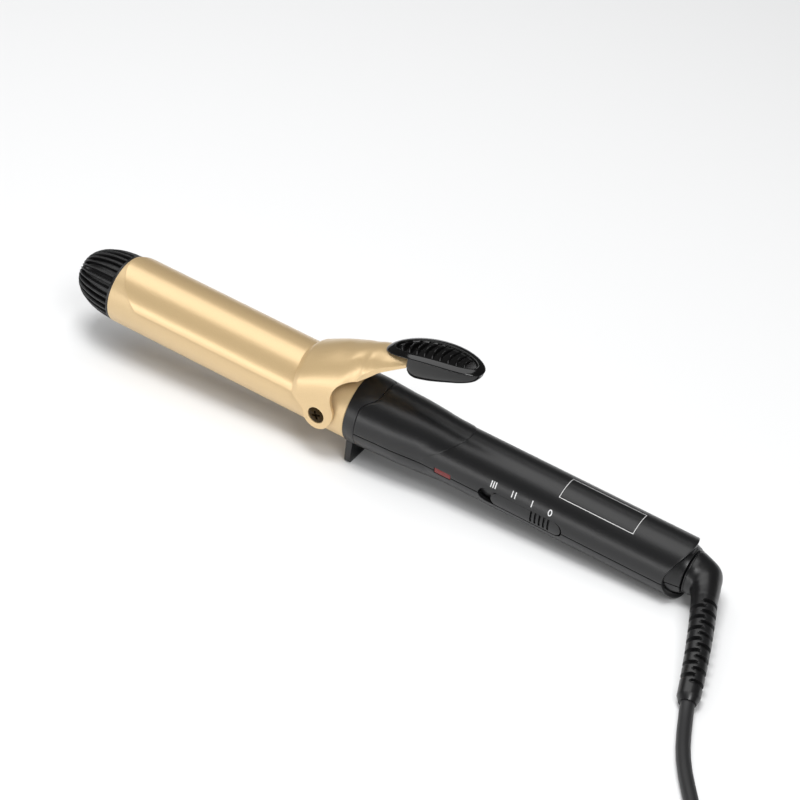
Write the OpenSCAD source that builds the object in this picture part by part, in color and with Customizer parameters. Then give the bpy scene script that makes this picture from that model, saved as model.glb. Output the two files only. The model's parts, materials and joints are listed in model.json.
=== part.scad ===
// Curling iron with a sprung clamp, a fixed foot, a slide switch and a swivel cord.
// The iron is drawn along X: x = 0 at the joint of tip and barrel, axis at y = z = 0,
// switch towards -Y. placed() then lays it on the table, on its foot and the handle's rear edge.

/* [Barrel] */
// Outer diameter of the heated barrel
barrel_d = 32; // [28:0.5:38]
// Wall of the barrel tube
barrel_wall = 1.2; // [0.8:0.1:1.6]
// Length of the barrel from the tip to the collar
barrel_l = 128; // [118:1:150]
// Length of the cool tip
tip_l = 24.5; // [16:0.5:32]
// Number of ribs around the cool tip
tip_ribs = 28; // [16:2:36]
// Height of the ribs on the cool tip
tip_rib_h = 0.9; // [0.4:0.1:1.2]
// Length of the tip's spigot inside the barrel
tip_spigot_l = 8; // [5:1:12]

/* [Heater] */
// Length of the aluminium heat spreaders
spreader_l = 90; // [80:1:100]
// Thickness of the ceramic heater
heater_t = 2.6; // [2:0.1:4]
// Width of the ceramic heater
heater_w = 20; // [14:1:24]
// Length of the ceramic heater
heater_l = 62; // [40:1:76]
// Diameter of the thermal fuse
fuse_d = 3.8; // [3:0.1:5]
// Diameter of the temperature sensor
sensor_d = 2.8; // [2:0.1:4]

/* [Clamp] */
// Thickness of the clamp plate
clamp_t = 1.0; // [0.7:0.1:1.4]
// Gap between the closed clamp plate and the barrel
clamp_gap = 0.25; // [0.2:0.05:0.6]
// Half of the angle that the clamp plate wraps round the barrel
clamp_half_angle = 75; // [60:1:80]
// Distance from the tip joint to the clamp's front edge
clamp_front = 1.6; // [0.5:0.1:6]
// Length of the clamp plate's rounded front
clamp_nose_l = 17; // [10:1:24]
// Distance from the pivot to the barrel's rear end
pivot_back = 12.5; // [11:0.5:14]
// Radius of the round ears at the pivot
ear_r = 7; // [6:0.5:8]
// Thickness of each ear
ear_t = 2.1; // [2:0.1:2.6]
// Rise of the lever above the barrel at the front of the thumb rest
lever_rise = 21.7; // [19:0.1:24]
// Wall of the hollow lever
lever_wall = 1.8; // [1.4:0.1:2.2]

/* [Thumb rest] */
// Length of the thumb rest
rest_l = 46.6; // [42:0.2:52]
// Width of the thumb rest
rest_w = 18.8; // [17:0.2:22]
// Depth of the body under the thumb rest
rest_depth = 12; // [10.5:0.5:13]
// Thickness of the thumb rest's rim
rest_rim_t = 1.6; // [1.4:0.1:2]
// Number of grip ribs on the thumb rest
rest_ribs = 10; // [6:1:12]

/* [Handle] */
// Diameter of the handle
handle_d = 27.6; // [27:0.2:30]
// Length of the handle with its collar
handle_l = 163.3; // [160:1:180]
// Wall of the handle shells
shell_wall = 2; // [1.6:0.1:2.4]
// How far the handle flares out at the collar, over its radius
flare_rise = 2.65; // [2.4:0.05:3]
// Length of the flare on the top and bottom of the handle
flare_l = 48; // [40:1:52]
// Length of the flare on the sides of the handle
flare_side_l = 32; // [26:1:36]
// Height of the seam between the shells under the axis
seam_drop = 2; // [1:0.5:3]
// Radius of the rounding of the handle's rear, seen from above
rear_round = 18.6; // [17:0.2:24]
// Width of the collar band on its sides
collar_w = 6; // [5:0.5:7]
// How far the collar's tongue reaches back on top
collar_tongue = 5.7; // [4:0.1:7]
// Depth of the foot's resting face under the axis
foot_drop = 25; // [22:0.5:30]
// Width of the foot
foot_w = 22; // [16:1:26]
// Thickness of the foot
foot_t = 3.5; // [2.5:0.1:5]

/* [Switch and lamp] */
// Length of the slider that shows in the slot
slider_l = 34.2; // [28:0.2:40]
// Height of the slider
slider_h = 7.1; // [5:0.1:8]
// Travel of the slider from off to the highest setting
slider_travel = 6; // [4.5:1.5:7.5]
// Number of grip grooves on the slider
slider_grooves = 5; // [3:1:7]
// Distance from the collar's front face to the slot's rear end
slot_end = 108.7; // [104:0.1:112]
// Length of the indicator window
lens_l = 8.2; // [5:0.1:10]
// Height of the indicator window
lens_h = 3; // [2:0.1:4]
// Distance from the collar's front face to the window's middle
lens_at = 49.9; // [48:0.1:54]
// Thickness of the circuit board
board_t = 1.6; // [1:0.1:2]
// Length of the circuit board
board_l = 78; // [74:1:84]

/* [Cord] */
// Diameter of the mains cord
cord_d = 6; // [5:0.1:7]
// Mean diameter of the stored coil of cord
coil_d = 63; // [60:1:72]
// Length of the moulded strain relief
relief_l = 48; // [44:1:52]
// Diameter of the strain relief's largest ring
relief_d = 10.6; // [9.5:0.1:12]
// Number of rings on the strain relief
relief_rings = 9; // [6:1:11]
// Diameter of the swivel's bearing spigot
spigot_d = 12; // [10:0.5:13]

/* [Hidden] */
fit = 0.05;             // radial clearance of a running fit
gap = 0.3;              // clearance between surfaces that only pass each other
seat = 0.05;            // gap between flat faces that rest on each other
fine = 64;
barrel_r = barrel_d / 2;
bore_r = barrel_r - barrel_wall;
handle_r = handle_d / 2;
shell_r = handle_r - shell_wall;
seam_z = -seam_drop;
collar_x = barrel_l;
handle_x = collar_x + collar_w;
rear_x = collar_x + handle_l;
pivot_x = barrel_l - pivot_back;
foot_mid = collar_x + foot_t / 2;
rest_tilt = atan((foot_drop - handle_r) / (rear_x - foot_mid));

// Clamp
clamp_r = barrel_r + clamp_gap;
clamp_outer = clamp_r + clamp_t;
ear_in = barrel_r + 0.35;
ear_out = ear_in + ear_t;
screw_d = 3;
shoulder_d = 4.4;
screw_head_d = 6.8;
head_t = 1;
head_sink = 1.1;
insert_d = 5;
hub_x = pivot_x - 17;
plate_end = pivot_x - 4.5;
rest_x = pivot_x + 21;
rest_z = barrel_r + lever_rise;
rest_slope = tan(15.4);
rest_arch = 3.2;
rest_dish = 1;
neck_x = rest_x + 14;
tongue_l = 20;
tongue_w = 8;
tongue_t = 2.6;
tongue_angle = 16;
rest_screw_d = 2.4;
spring_x = pivot_x + 7.6;
spring_d = 8;
spring_wire = 0.9;
spring_turns = 6;
spring_top = barrel_r + 11.2;
neck_half = 7.4;
rest_screw_l = 9.6;
rest_head = 7;

// Barrel mount
mount_r = bore_r - 0.1;
mount_bore = mount_r - 3.2;
mount_x = pivot_x - 9.5;
mount_l = 46;
mount_seat_r = bore_r;
flare_bore_end = mount_x + mount_l + 0.4;

// Handle and swivel
neck_r = 10.6;
neck_end = rear_x + 0.6;
rim_inner = shell_r;
rim_groove = 4.5;
bulkhead_t = 4;
bulkhead_x = rear_x - rim_groove - bulkhead_t;
spigot_r = spigot_d / 2;
swivel_gap = 0.5;
elbow_x = neck_end + swivel_gap;
elbow_r = 9.7;
elbow_ball = 8.2;
elbow_ring = 3;
elbow_mid = elbow_x + 6.6;
elbow_turn = 66.5;
elbow_reach = 15;
outlet_r = 5.6;
clip_t = 1.2;
clip_r = 8.4;
post_r = 3;
post_l = 13;
contact_r = 4.3;
contact_w = 2.4;
contact_xs = [bulkhead_x - 6, bulkhead_x - 11];
boss_r = 3.4;
boss_root = 0.6;
shell_screw_d = 2.8;
shell_head_d = 5;
boss_xs = [collar_x + 32, rear_x - 29];
head_z = -handle_r + 2.4;

// Board, switch and lamp
board_x = collar_x + 42;
board_top = -5.4;
board_w = 17;
switch_l = 15;
switch_d = 5;
stub_w = 2.4;
stub_z = -1.4;
slot_rear = collar_x + slot_end;
slot_l = slider_l + slider_travel + 0.7;
slot_h = slider_h + 0.4;
slot_z = -1.45;
slot_mid = slot_rear - slot_l / 2;
slider_r = handle_r - 0.15;
slider_rear = slot_rear - 0.4;
flange_r = shell_r - gap;
flange_t = 0.8;
flange_over = 0.8;
switch_x = slider_rear - 12;
lens_x = collar_x + lens_at;
lens_z = seam_z + 0.2;
lamp_d = 3;
lead_d = 1.8;
lead_y = 5.2;

// Route of the cord on the table, from the strain relief to the coil
relief_end = [193.5, -59, 4.9];
cord_r = cord_d / 2;
cord_route = [relief_end, [194.9, -62.6, 4], [196.3, -66.2, 3.4], [197.8, -69.8, 3.2], [200.4, -76, 3.1],
    [203.6, -83, 3.1], [207, -89.2, 3.1], [210.7, -95, 3.1], [214.7, -100.6, 3.1], [218.9, -106.2, 3.1],
    [223.1, -112, 3.1], [227.3, -117.9, 3.1], [231.6, -123.8, 3.1], [235.8, -129.6, 3.1], [240, -135.5, 3.2],
    [244.2, -141.4, 3.4], [248.4, -147.2, 3.7], [252.2, -152.4, 4], [255.6, -157.6, 4.1]];
coil_c = [225, -179.5];
coil_z = 1.1;
coil_wide = 3;
coil_high = 3;
tie_span = 20;
tie_t = 0.8;
tie_angle = 300;
// Route of the cord from the coil to the plug
tail_route = [[198.1, -206.4, 9.6], [194.6, -203.4, 9.3], [190.6, -200.8, 8.7], [186.2, -198.9, 7.9],
    [181.6, -197.9, 7.2], [177, -197.6, 6.9], [172.4, -197.6, 6.8]];
plug_at = [172.4, -197.6, 6.8];
plug_neck_l = 15;
plug_body_l = 22;
plug_w = 34;
plug_h = 13.2;
pin_d = 4;
pin_l = 19;
pin_gap = 18.6;
pin_root = 8;
pin_chamfer = 0.8;

// Lays the iron on the table: foot face at the origin, z = 0 is the table.
module placed() {
    rotate([0, rest_tilt, 0]) translate([-foot_mid, 0, foot_drop]) children();
}

function to_table(p) = let(q = p - [foot_mid, 0, -foot_drop])
    [q.x * cos(rest_tilt) + q.z * sin(rest_tilt), q.y, -q.x * sin(rest_tilt) + q.z * cos(rest_tilt)];

function unit(v) = v / norm(v);
function spow(v, p) = sign(v) * pow(abs(v), p);

// A cylinder along X from x to x + l
module rod(x, l, r, y = 0, z = 0, fn = fine) {
    translate([x, y, z]) rotate([0, 90, 0]) cylinder(h = l, r = r, $fn = fn);
}

// A cylinder along Y from y to y + l
module cross_rod(x, y, l, r, z = 0, fn = 32) {
    translate([x, y, z]) rotate([-90, 0, 0]) cylinder(h = l, r = r, $fn = fn);
}

// A ring along X
module ring(x, l, r_out, r_in, fn = fine) {
    difference() {
        rod(x, l, r_out, fn = fn);
        rod(x - 1, l + 2, r_in, fn = fn);
    }
}

// A body turned about the X axis: pts are [x, radius]
module turned(pts, fn = fine) {
    rotate([0, 90, 0]) rotate_extrude($fn = fn) polygon([for (p = pts) [p[1], p[0]]]);
}

// Moves children to p with their Z axis along d
module along(p, d) {
    translate(p) rotate([0, acos(d.z / norm(d)), atan2(d.y, d.x)]) children();
}

// Joins rings with the same number of points, each turned anticlockwise about the way they run
module skin(rings) {
    n = len(rings[0]);
    m = len(rings);
    polyhedron(
        points = [for (r = rings) each r],
        faces = concat(
            [[for (j = [0:n - 1]) j]],
            [for (i = [0:m - 2], j = [0:n - 1]) [i * n + j, (i + 1) * n + (j + 1) % n, i * n + (j + 1) % n]],
            [for (i = [0:m - 2], j = [0:n - 1]) [i * n + j, (i + 1) * n + j, (i + 1) * n + (j + 1) % n]],
            [[for (j = [n - 1:-1:0]) (m - 1) * n + j]]));
}

// Ring of points of radius r about p, square to d
function hoop(p, d, r, sides) = let(z = unit(d), x = unit(cross([0, 0, 1], z)), y = cross(z, x))
    [for (i = [0:sides - 1]) p + r * (cos(360 * i / sides) * x + sin(360 * i / sides) * y)];
function heading(pts, i) = pts[min(i + 1, len(pts) - 1)] - pts[max(i - 1, 0)];

// A tube of radius r swept along pts
module swept(pts, r, sides) {
    skin([for (i = [0:len(pts) - 1]) hoop(pts[i], heading(pts, i), r, sides)]);
}

// ---- cool tip and barrel ----
dome_r = barrel_r - 0.4;
function dome_point(a, grow) = [-(tip_l + grow) * pow(sin(a), 1.08), (dome_r + grow) * pow(cos(a), 0.86)];
function dome_profile(grow) = [for (a = [0:6:84]) dome_point(a, grow)];

module tip_rib(a) {
    w = 1.1;
    outer = dome_profile(0);
    inner = dome_profile(-tip_rib_h - 0.6);
    rotate([a, 0, 0]) translate([0, w / 2, 0]) rotate([90, 0, 0]) linear_extrude(w)
        polygon(concat([for (p = outer) p], [for (i = [len(inner) - 1:-1:0]) inner[i]]));
}

module tip_cap() {
    core = dome_profile(-tip_rib_h);
    color([0.1, 0.1, 0.1]) placed() union() {
        turned(concat([[0, 0], [0, barrel_r - 0.1], [-1, barrel_r - 0.1], [-1.2, dome_r - tip_rib_h]],
            [for (i = [1:len(core) - 1]) core[i]], [[-(tip_l - tip_rib_h), 0]]));
        ring(-0.5, tip_spigot_l + 0.5, bore_r - fit, bore_r - 1.6);
        for (i = [0:tip_ribs - 1]) tip_rib(360 * i / tip_ribs);
    }
}

module barrel_tube() {
    color([0.8, 0.66, 0.42]) placed() difference() {
        ring(seat, barrel_l - 2 * seat, barrel_r, bore_r, 96);
        cross_rod(pivot_x, -barrel_d, 2 * barrel_d, screw_d / 2 + fit);
    }
}

// ---- heater ----
spreader_x = tip_spigot_l + 4;
spreader_r = bore_r - 0.1;
spreader_end = spreader_x + spreader_l;
fuse_sink = 13;
fuse_l = 10;
sensor_sink = 9;
sensor_l = 7;
lead_stub = 4;

// Half of the spreaders, stepped down where they would reach into the carrier
module half_spreader(side) {
    intersection() {
        union() {
            rod(spreader_x, min(spreader_l, mount_x - gap - spreader_x), spreader_r);
            rod(spreader_x, spreader_l, mount_bore - gap);
        }
        translate([spreader_x - 1, -barrel_r,
                   side > 0 ? heater_t / 2 + seat : -barrel_d - heater_t / 2 - seat])
            cube([spreader_l + 2, barrel_d, barrel_d]);
    }
}

module spreader_top() {
    color([0.75, 0.76, 0.78]) placed() difference() {
        half_spreader(1);
        rod(spreader_end - fuse_sink - 1, fuse_sink + 3, fuse_d / 2 + fit, 0, spreader_r / 2, 32);
    }
}

module spreader_bottom() {
    color([0.75, 0.76, 0.78]) placed() difference() {
        half_spreader(-1);
        rod(spreader_end - sensor_sink - 1, sensor_sink + 3, sensor_d / 2 + fit, 0, -spreader_r / 2, 32);
    }
}

module ceramic_heater() {
    x = spreader_x + (spreader_l - heater_l) / 2;
    color([0.85, 0.83, 0.78]) placed() translate([x, -heater_w / 2, -heater_t / 2])
        cube([heater_l, heater_w, heater_t]);
}

module thermal_fuse() {
    x = spreader_end - fuse_sink;
    color([0.8, 0.8, 0.82]) placed() union() {
        rod(x, fuse_l, fuse_d / 2, 0, spreader_r / 2, 32);
        rod(x + fuse_l - 1, lead_stub, fuse_d / 4, 0, spreader_r / 2, 24);
    }
}

module temperature_sensor() {
    x = spreader_end - sensor_sink;
    color([0.5, 0.3, 0.2]) placed() union() {
        rod(x, sensor_l, sensor_d / 2, 0, -spreader_r / 2, 32);
        rod(x + sensor_l - 1, lead_stub, sensor_d / 4, 0, -spreader_r / 2, 24);
    }
}

// Moulded carrier that joins the barrel to the handle
module barrel_mount() {
    color([0.25, 0.22, 0.2]) placed() difference() {
        ring(mount_x, mount_l, mount_r, mount_bore);
        cross_rod(pivot_x, -barrel_d, 2 * barrel_d, insert_d / 2 + fit);
    }
}

module pivot_inserts() {
    color([0.78, 0.62, 0.3]) placed() for (side = [0, 1]) mirror([0, side, 0]) difference() {
        cross_rod(pivot_x, -mount_r + 0.4, 3, insert_d / 2);
        cross_rod(pivot_x, -mount_r - 1, 6, screw_d / 2 + fit);
    }
}

head_floor = ear_out - head_sink;

module pivot_screws() {
    color([0.28, 0.2, 0.1]) placed() for (side = [0, 1]) mirror([0, side, 0]) difference() {
        union() {
            cross_rod(pivot_x, -head_floor - seat - head_t, head_t, screw_head_d / 2);
            cross_rod(pivot_x, -head_floor - seat - 0.1, head_floor + seat + 0.07 - barrel_r, shoulder_d / 2);
            cross_rod(pivot_x, -barrel_r - 0.1, 4, screw_d / 2);
        }
        for (a = [0, 90]) translate([pivot_x, -head_floor - head_t, 0]) rotate([0, a + 20, 0])
            translate([-2, -0.6, -0.4]) cube([4, 1, 0.8]);
    }
}

// ---- clamp ----
plate_base = clamp_outer * cos(clamp_half_angle);
function nose_x(t) = clamp_front + clamp_nose_l * (1 - cos(t));

module clamp_plate() {
    half = clamp_outer * sin(clamp_half_angle) + 0.2;
    color([0.85, 0.71, 0.46]) placed() intersection() {
        ring(clamp_front, plate_end - clamp_front, clamp_outer, clamp_r, 96);
        linear_extrude(barrel_d) polygon(concat(
            [for (t = [-90:7.5:90]) [nose_x(t), half * sin(t)]],
            [[plate_end + 1, half], [plate_end + 1, -half]]));
        translate([0, -barrel_d, plate_base]) cube([barrel_l, 2 * barrel_d, barrel_d]);
    }
}

// Height of the thumb rest's rim along x
function rim_z(x) = let(u = (x - rest_x) / rest_l)
    rest_z + rest_slope * rest_l * u + rest_arch * (1 - pow(2 * u - 1, 2));
function neck_top(x) = rim_z(x) - rest_rim_t - 0.1;

// One arched section of the lever: half width, base, top and squareness at x
function arch(x, w, base, top, sq, grow) = [for (i = [0:24]) let(a = 7.5 * i)
    [x, (w + grow) * spow(cos(a), 2 / sq), base + (top + grow - base) * spow(sin(a), 2 / sq)]];

// Height over the barrel's axis, at a share k of the lever's rise
function at_rise(k) = barrel_r + lever_rise * k;

function lever_sections(grow) = let(p = pivot_x, n = neck_half) [
    arch(hub_x, ear_in + 0.9, 4.5, at_rise(0.07), 2, grow),
    arch(hub_x + 2.5, ear_in + 1.2, 4.2, at_rise(0.157), 2, grow),
    arch(hub_x + 6, ear_out - 0.4, 4, at_rise(0.267), 2.05, grow),
    arch(hub_x + 11, ear_out - 0.1, 4, at_rise(0.387), 2.1, grow),
    arch(p - 1, ear_out, 4, at_rise(0.54), 2.15, grow),
    arch(p + 3, ear_out - 0.1, 4, at_rise(0.627), 2.2, grow),
    arch(p + 6.2, ear_out - 0.5, 5, at_rise(0.696), 2.25, grow),
    arch(p + 7.6, ear_out - 2.6, at_rise(-0.03), at_rise(0.728), 2.4, grow),
    arch(p + 10.5, n + 5.4, at_rise(0.157), at_rise(0.788), 2.7, grow),
    arch(p + 16.5, n + 3.2, at_rise(0.405), at_rise(0.87), 3.3, grow),
    arch(rest_x - 0.5, n + 2.2, at_rise(0.6), at_rise(0.9), 3.8, grow),
    arch(rest_x + 1.2, n + 2, at_rise(0.636), neck_top(rest_x + 1.2), 4, grow),
    arch(rest_x + 8, n + 0.9, at_rise(0.848), neck_top(rest_x + 8), 4.5, grow),
    arch(neck_x - 0.3, n, at_rise(0.995), neck_top(neck_x - 0.3), 4.5, grow)];

// Same form, smaller by the wall, open below
function lever_hollow() = [for (s = lever_sections(-lever_wall))
    [for (q = s) q.z < s[0].z + 0.01 ? q - [0, 0, 6] : q]];

module rest_tongue(grow) {
    translate([neck_x, 0, neck_top(neck_x) - 2.2 - tongue_t]) rotate([0, -tongue_angle, 0])
        translate([-8, -tongue_w / 2 - grow, -grow])
            cube([tongue_l + grow, tongue_w + 2 * grow, tongue_t + 2 * grow]);
}

// Place of the thumb rest's screw, which runs along Z from -rest_head
module at_rest_screw() {
    translate([neck_x + 6, 0, neck_top(neck_x) - 2]) rotate([0, -tongue_angle, 0]) children();
}

module rest_screw_hole(r) {
    at_rest_screw() translate([0, 0, -rest_head]) cylinder(h = rest_screw_l + 0.2, r = r, $fn = 32);
}

module clamp_lever() {
    color([0.85, 0.71, 0.46]) placed() difference() {
        union() {
            difference() {
                skin(lever_sections(0));
                intersection() {
                    skin(lever_hollow());
                    translate([hub_x + 3, -barrel_r, 0])
                        cube([neck_x - 5 - hub_x - 3, barrel_d, 3 * barrel_r]);
                }
            }
            for (side = [0, 1]) mirror([0, side, 0]) hull() {
                cross_rod(pivot_x, -ear_out, ear_t, ear_r);
                translate([pivot_x - ear_r, -ear_out + 0.6, 4]) cube([2 * ear_r, ear_t - 0.6, 6]);
            }
            rest_tongue(0);
        }
        // room for the clamp plate, then for the barrel
        intersection() {
            rod(hub_x - 5, plate_end + seat - hub_x + 5, clamp_outer + seat, fn = 96);
            translate([0, -barrel_d, plate_base - 0.2]) cube([barrel_l, 2 * barrel_d, barrel_d]);
        }
        rod(hub_x - 5, 45, ear_in, fn = 96);
        translate([hub_x - 5, -ear_in, -barrel_r]) cube([45, 2 * ear_in, barrel_r + 6]);
        cross_rod(pivot_x, -2 * barrel_r, 4 * barrel_r, shoulder_d / 2 + fit);
        for (side = [0, 1]) mirror([0, side, 0])
            cross_rod(pivot_x, -ear_out - 1, 1 + head_sink, screw_head_d / 2 + 0.15);
        rest_screw_hole(rest_screw_d / 2 + fit);
    }
}

module clamp_spring() {
    z0 = barrel_r + 0.1;
    steps = spring_turns * 14;
    route = [for (i = [0:steps]) let(a = 360 * spring_turns * i / steps, u = i / steps)
        [spring_x + spring_d / 2 * cos(a), spring_d / 2 * sin(a),
         z0 + spring_wire / 2 + u * (spring_top - z0)]];
    color([0.7, 0.7, 0.72]) placed() swept(route, spring_wire / 2, 6);
}

// ---- thumb rest ----
function rest_half(u) = rest_w / 2 * pow(max(1 - pow(abs(2 * u - 1), 2.2), 0), 1 / 2.2);
function rim_ring(u, shrink, lift, t) =
    let(x = rest_x + rest_l * u, w = max(rest_half(u) - shrink, 0.3), z = rim_z(x))
    [[x, -w, z + lift], [x, -w, z + lift - t * 0.6], [x, -w * 0.92, z + lift - t],
     [x, w * 0.92, z + lift - t], [x, w, z + lift - t * 0.6], [x, w, z + lift],
     [x, w * 0.5, z + lift + 0.3], [x, -w * 0.5, z + lift + 0.3]];
rest_stations = [0.002, 0.02, 0.06, 0.12, 0.2, 0.3, 0.4, 0.5, 0.6, 0.7, 0.8, 0.88, 0.94, 0.98, 0.998];
belly_start = (neck_x - rest_x) / rest_l;
belly = [[0, 0.82], [0.03, 0.92], [0.1, 1], [0.2, 1], [0.32, 0.96], [0.46, 0.87], [0.6, 0.76], [0.74, 0.64],
    [0.86, 0.5], [0.94, 0.36], [0.985, 0.2]];
function belly_ring(b) = let(u = belly_start + (0.985 - belly_start) * b[0] / 0.985, x = rest_x + rest_l * u,
        w = max(rest_half(u) - 1, 0.4), z = rim_z(x) - 0.9, d = rest_depth * b[1])
    [for (i = [0:16]) let(a = 180 + 11.25 * i) [x, w * spow(cos(a), 0.8), z + d * spow(sin(a), 0.8)]];

module thumb_rest() {
    color([0.06, 0.06, 0.06]) placed() difference() {
        union() {
            difference() {
                skin([for (u = rest_stations) rim_ring(u, 0, 0, rest_rim_t)]);
                skin([for (u = [0.07, 0.12, 0.2, 0.3, 0.4, 0.5, 0.6, 0.7, 0.8, 0.88, 0.93])
                    rim_ring(u, 1.6, rest_dish, 2 * rest_dish - 0.1)]);
            }
            for (i = [1:rest_ribs])
                let(u = 0.06 + 0.88 * i / (rest_ribs + 1), x = rest_x + rest_l * u, w = rest_half(u) - 1.7)
                translate([x - 0.5, -w, rim_z(x) - 1.4]) cube([1, 2 * w, 1.6]);
            skin([for (b = belly) belly_ring(b)]);
        }
        rest_tongue(0.1);
        rest_screw_hole(rest_screw_d / 2 + 0.3);
        at_rest_screw() translate([0, 0, -20]) cylinder(h = 13.8, r = 2.3, $fn = 32);
    }
}

module thumb_rest_screw() {
    color([0.3, 0.3, 0.32]) placed() at_rest_screw() union() {
        translate([0, 0, -rest_head - 1]) cylinder(h = rest_head - 5.25, r = 2.1, $fn = 32);
        translate([0, 0, -rest_head]) cylinder(h = rest_screw_l, r = rest_screw_d / 2, $fn = 32);
    }
}

// ---- handle ----
function flare_z(x) = handle_r + flare_rise * cos(90 * min((x - handle_x) / flare_l, 1.04));
function flare_y(x) = handle_r + max(flare_rise * cos(90 * (x - handle_x) / flare_side_l), -0.15);

function flare_ring(x) = let(f = max(x, handle_x))
    [for (a = [0:7.5:352.5]) [x, flare_y(f) * cos(a), flare_z(f) * sin(a)]];

module handle_form() {
    union() {
        rod(handle_x - 1, rear_x - handle_x + 1, handle_r, fn = 96);
        skin([for (i = [0:16]) let(x = handle_x - 0.5 + (flare_l + 0.5) * i / 16)
            flare_ring(x)]);
    }
}

module tongue_shape(grow) {
    translate([0, 0, 5]) linear_extrude(barrel_d) hull() {
        for (side = [-1, 1])
            translate([handle_x + collar_tongue - 2.5, side * 4.8]) circle(r = 2.5 + grow, $fn = 32);
        translate([handle_x - 2, -12.4 - grow]) square([2.6 + grow, 24.8 + 2 * grow]);
    }
}

module shell_form() {
    difference() {
        intersection() {
            handle_form();
            translate([rear_x - rear_round, 0, -barrel_d]) union() {
                cylinder(h = 2 * barrel_d, r = rear_round, $fn = 96);
                translate([-rear_x, -barrel_d, 0]) cube([rear_x, 2 * barrel_d, 2 * barrel_d]);
            }
            translate([handle_x, -barrel_d, -barrel_d]) cube([2 * rear_x, 2 * barrel_d, 2 * barrel_d]);
        }
        tongue_shape(seat);
        rod(handle_x - 2, flare_bore_end - handle_x + 2, mount_seat_r);
        rod(flare_bore_end - 0.5, bulkhead_x - flare_bore_end + 0.5, shell_r, fn = 96);
        rod(rear_x - rim_groove, rim_groove + 2, rim_inner, fn = 96);
    }
}

// Outline of the slider and its slot
module slider_outline(l, h) {
    union() {
        square([l - h, h], center = true);
        for (s = [-1, 1]) translate([s * (l - h) / 2, 0]) circle(d = h, $fn = 48);
    }
}

module handle_shell() {
    difference() {
        union() {
            shell_form();
            rod(bulkhead_x, neck_end - bulkhead_x, neck_r, fn = 96);
        }
        // slot of the switch, through the wall on the -Y side
        translate([slot_mid, -handle_r - 2, slot_z]) rotate([-90, 0, 0]) linear_extrude(6)
            slider_outline(slot_l, slot_h);
        // bearing of the swivel
        rod(bulkhead_x - 1, neck_end - bulkhead_x + 2, spigot_r + fit);
        // window of the lamp
        translate([lens_x - lens_l / 2 - 0.1, -handle_r - 2, lens_z - lens_h / 2 - 0.1])
            cube([lens_l + 0.2, 6, lens_h + 0.2]);
    }
}

module above_seam() {
    translate([0, -barrel_d, seam_z + seat / 2]) cube([2 * rear_x, 2 * barrel_d, 2 * barrel_d]);
}

module below_seam() {
    translate([0, -barrel_d, seam_z - seat / 2 - 2 * barrel_d])
        cube([2 * rear_x, 2 * barrel_d, 2 * barrel_d]);
}

module upper_shell() {
    color([0.13, 0.13, 0.14]) placed() difference() {
        union() {
            intersection() {
                handle_shell();
                above_seam();
            }
            for (x = boss_xs) translate([x, 0, seam_z + seat / 2])
                cylinder(h = shell_r - seam_z + boss_root, r = boss_r, $fn = 48);
        }
        for (x = boss_xs)
            translate([x, 0, seam_z - 1]) cylinder(h = 9, r = shell_screw_d / 2 + fit, $fn = 32);
    }
}

module lower_shell() {
    color([0.12, 0.12, 0.13]) placed() difference() {
        union() {
            intersection() {
                handle_shell();
                below_seam();
            }
            for (x = boss_xs) translate([x, 0, -shell_r - boss_root])
                cylinder(h = shell_r + boss_root + seam_z - seat / 2, r = boss_r, $fn = 48);
            for (x = [board_x + 8, board_x + board_l - 10]) intersection() {
                translate([x, -board_w / 2, -handle_r])
                    cube([2, board_w, handle_r + board_top - board_t - seat]);
                rod(x - 1, 4, shell_r + 0.4);
            }
        }
        for (x = boss_xs) translate([x, 0, -barrel_d]) {
            cylinder(h = barrel_d + seam_z + 1, r = shell_screw_d / 2 + fit, $fn = 32);
            cylinder(h = barrel_d + head_z, r = shell_head_d / 2 + 0.2, $fn = 32);
        }
    }
}

module shell_screws() {
    color([0.55, 0.55, 0.56]) placed() for (x = boss_xs) translate([x, 0, head_z - seat]) difference() {
        union() {
            translate([0, 0, -1.5]) cylinder(h = 1.5, r = shell_head_d / 2, $fn = 32);
            translate([0, 0, -0.5]) cylinder(h = 14, r = shell_screw_d / 2, $fn = 32);
        }
        for (a = [0, 90]) rotate(a) translate([-1.5, -0.3, -2]) cube([3, 0.6, 1.2]);
    }
}

module collar_foot() {
    color([0.1, 0.1, 0.11]) placed() difference() {
        union() {
            intersection() {
                skin([for (i = [0:10]) let(x = collar_x + (collar_tongue + collar_w + 1) * i / 10)
                    flare_ring(x)]);
                union() {
                    translate([collar_x, -barrel_d, -barrel_d])
                        cube([collar_w - seat, 2 * barrel_d, 2 * barrel_d]);
                    tongue_shape(0);
                }
            }
            // foot plate
            translate([collar_x, 0, 0]) rotate([90, 0, 90]) linear_extrude(foot_t) hull() {
                for (s = [-1, 1]) translate([s * (foot_w / 2 - 2), -foot_drop + 1.6]) circle(r = 2, $fn = 32);
                translate([-foot_w / 2, -barrel_r * 0.6]) square([foot_w, 4]);
            }
        }
        rod(collar_x - 1, collar_w + collar_tongue + 4, mount_seat_r);
        // table plane
        translate([foot_mid, 0, -foot_drop]) rotate([0, -rest_tilt, 0])
            translate([-barrel_d, -barrel_d, -barrel_d]) cube([2 * barrel_d, 2 * barrel_d, barrel_d]);
    }
}

// ---- electrics in the handle ----
module circuit_board() {
    color([0.1, 0.35, 0.2]) placed() difference() {
        translate([board_x, -board_w / 2, board_top - board_t]) cube([board_l, board_w, board_t]);
        for (x = [board_x + 3, board_x + board_l - 3], y = [-5, 5])
            translate([x, y, board_top - board_t - 1]) cylinder(h = board_t + 2, d = 1.2, $fn = 24);
        // room for the screw bosses
        for (x = boss_xs) translate([x, 0, board_top - board_t - 1])
            cylinder(h = board_t + 2, r = boss_r + gap, $fn = 48);
    }
}

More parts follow.
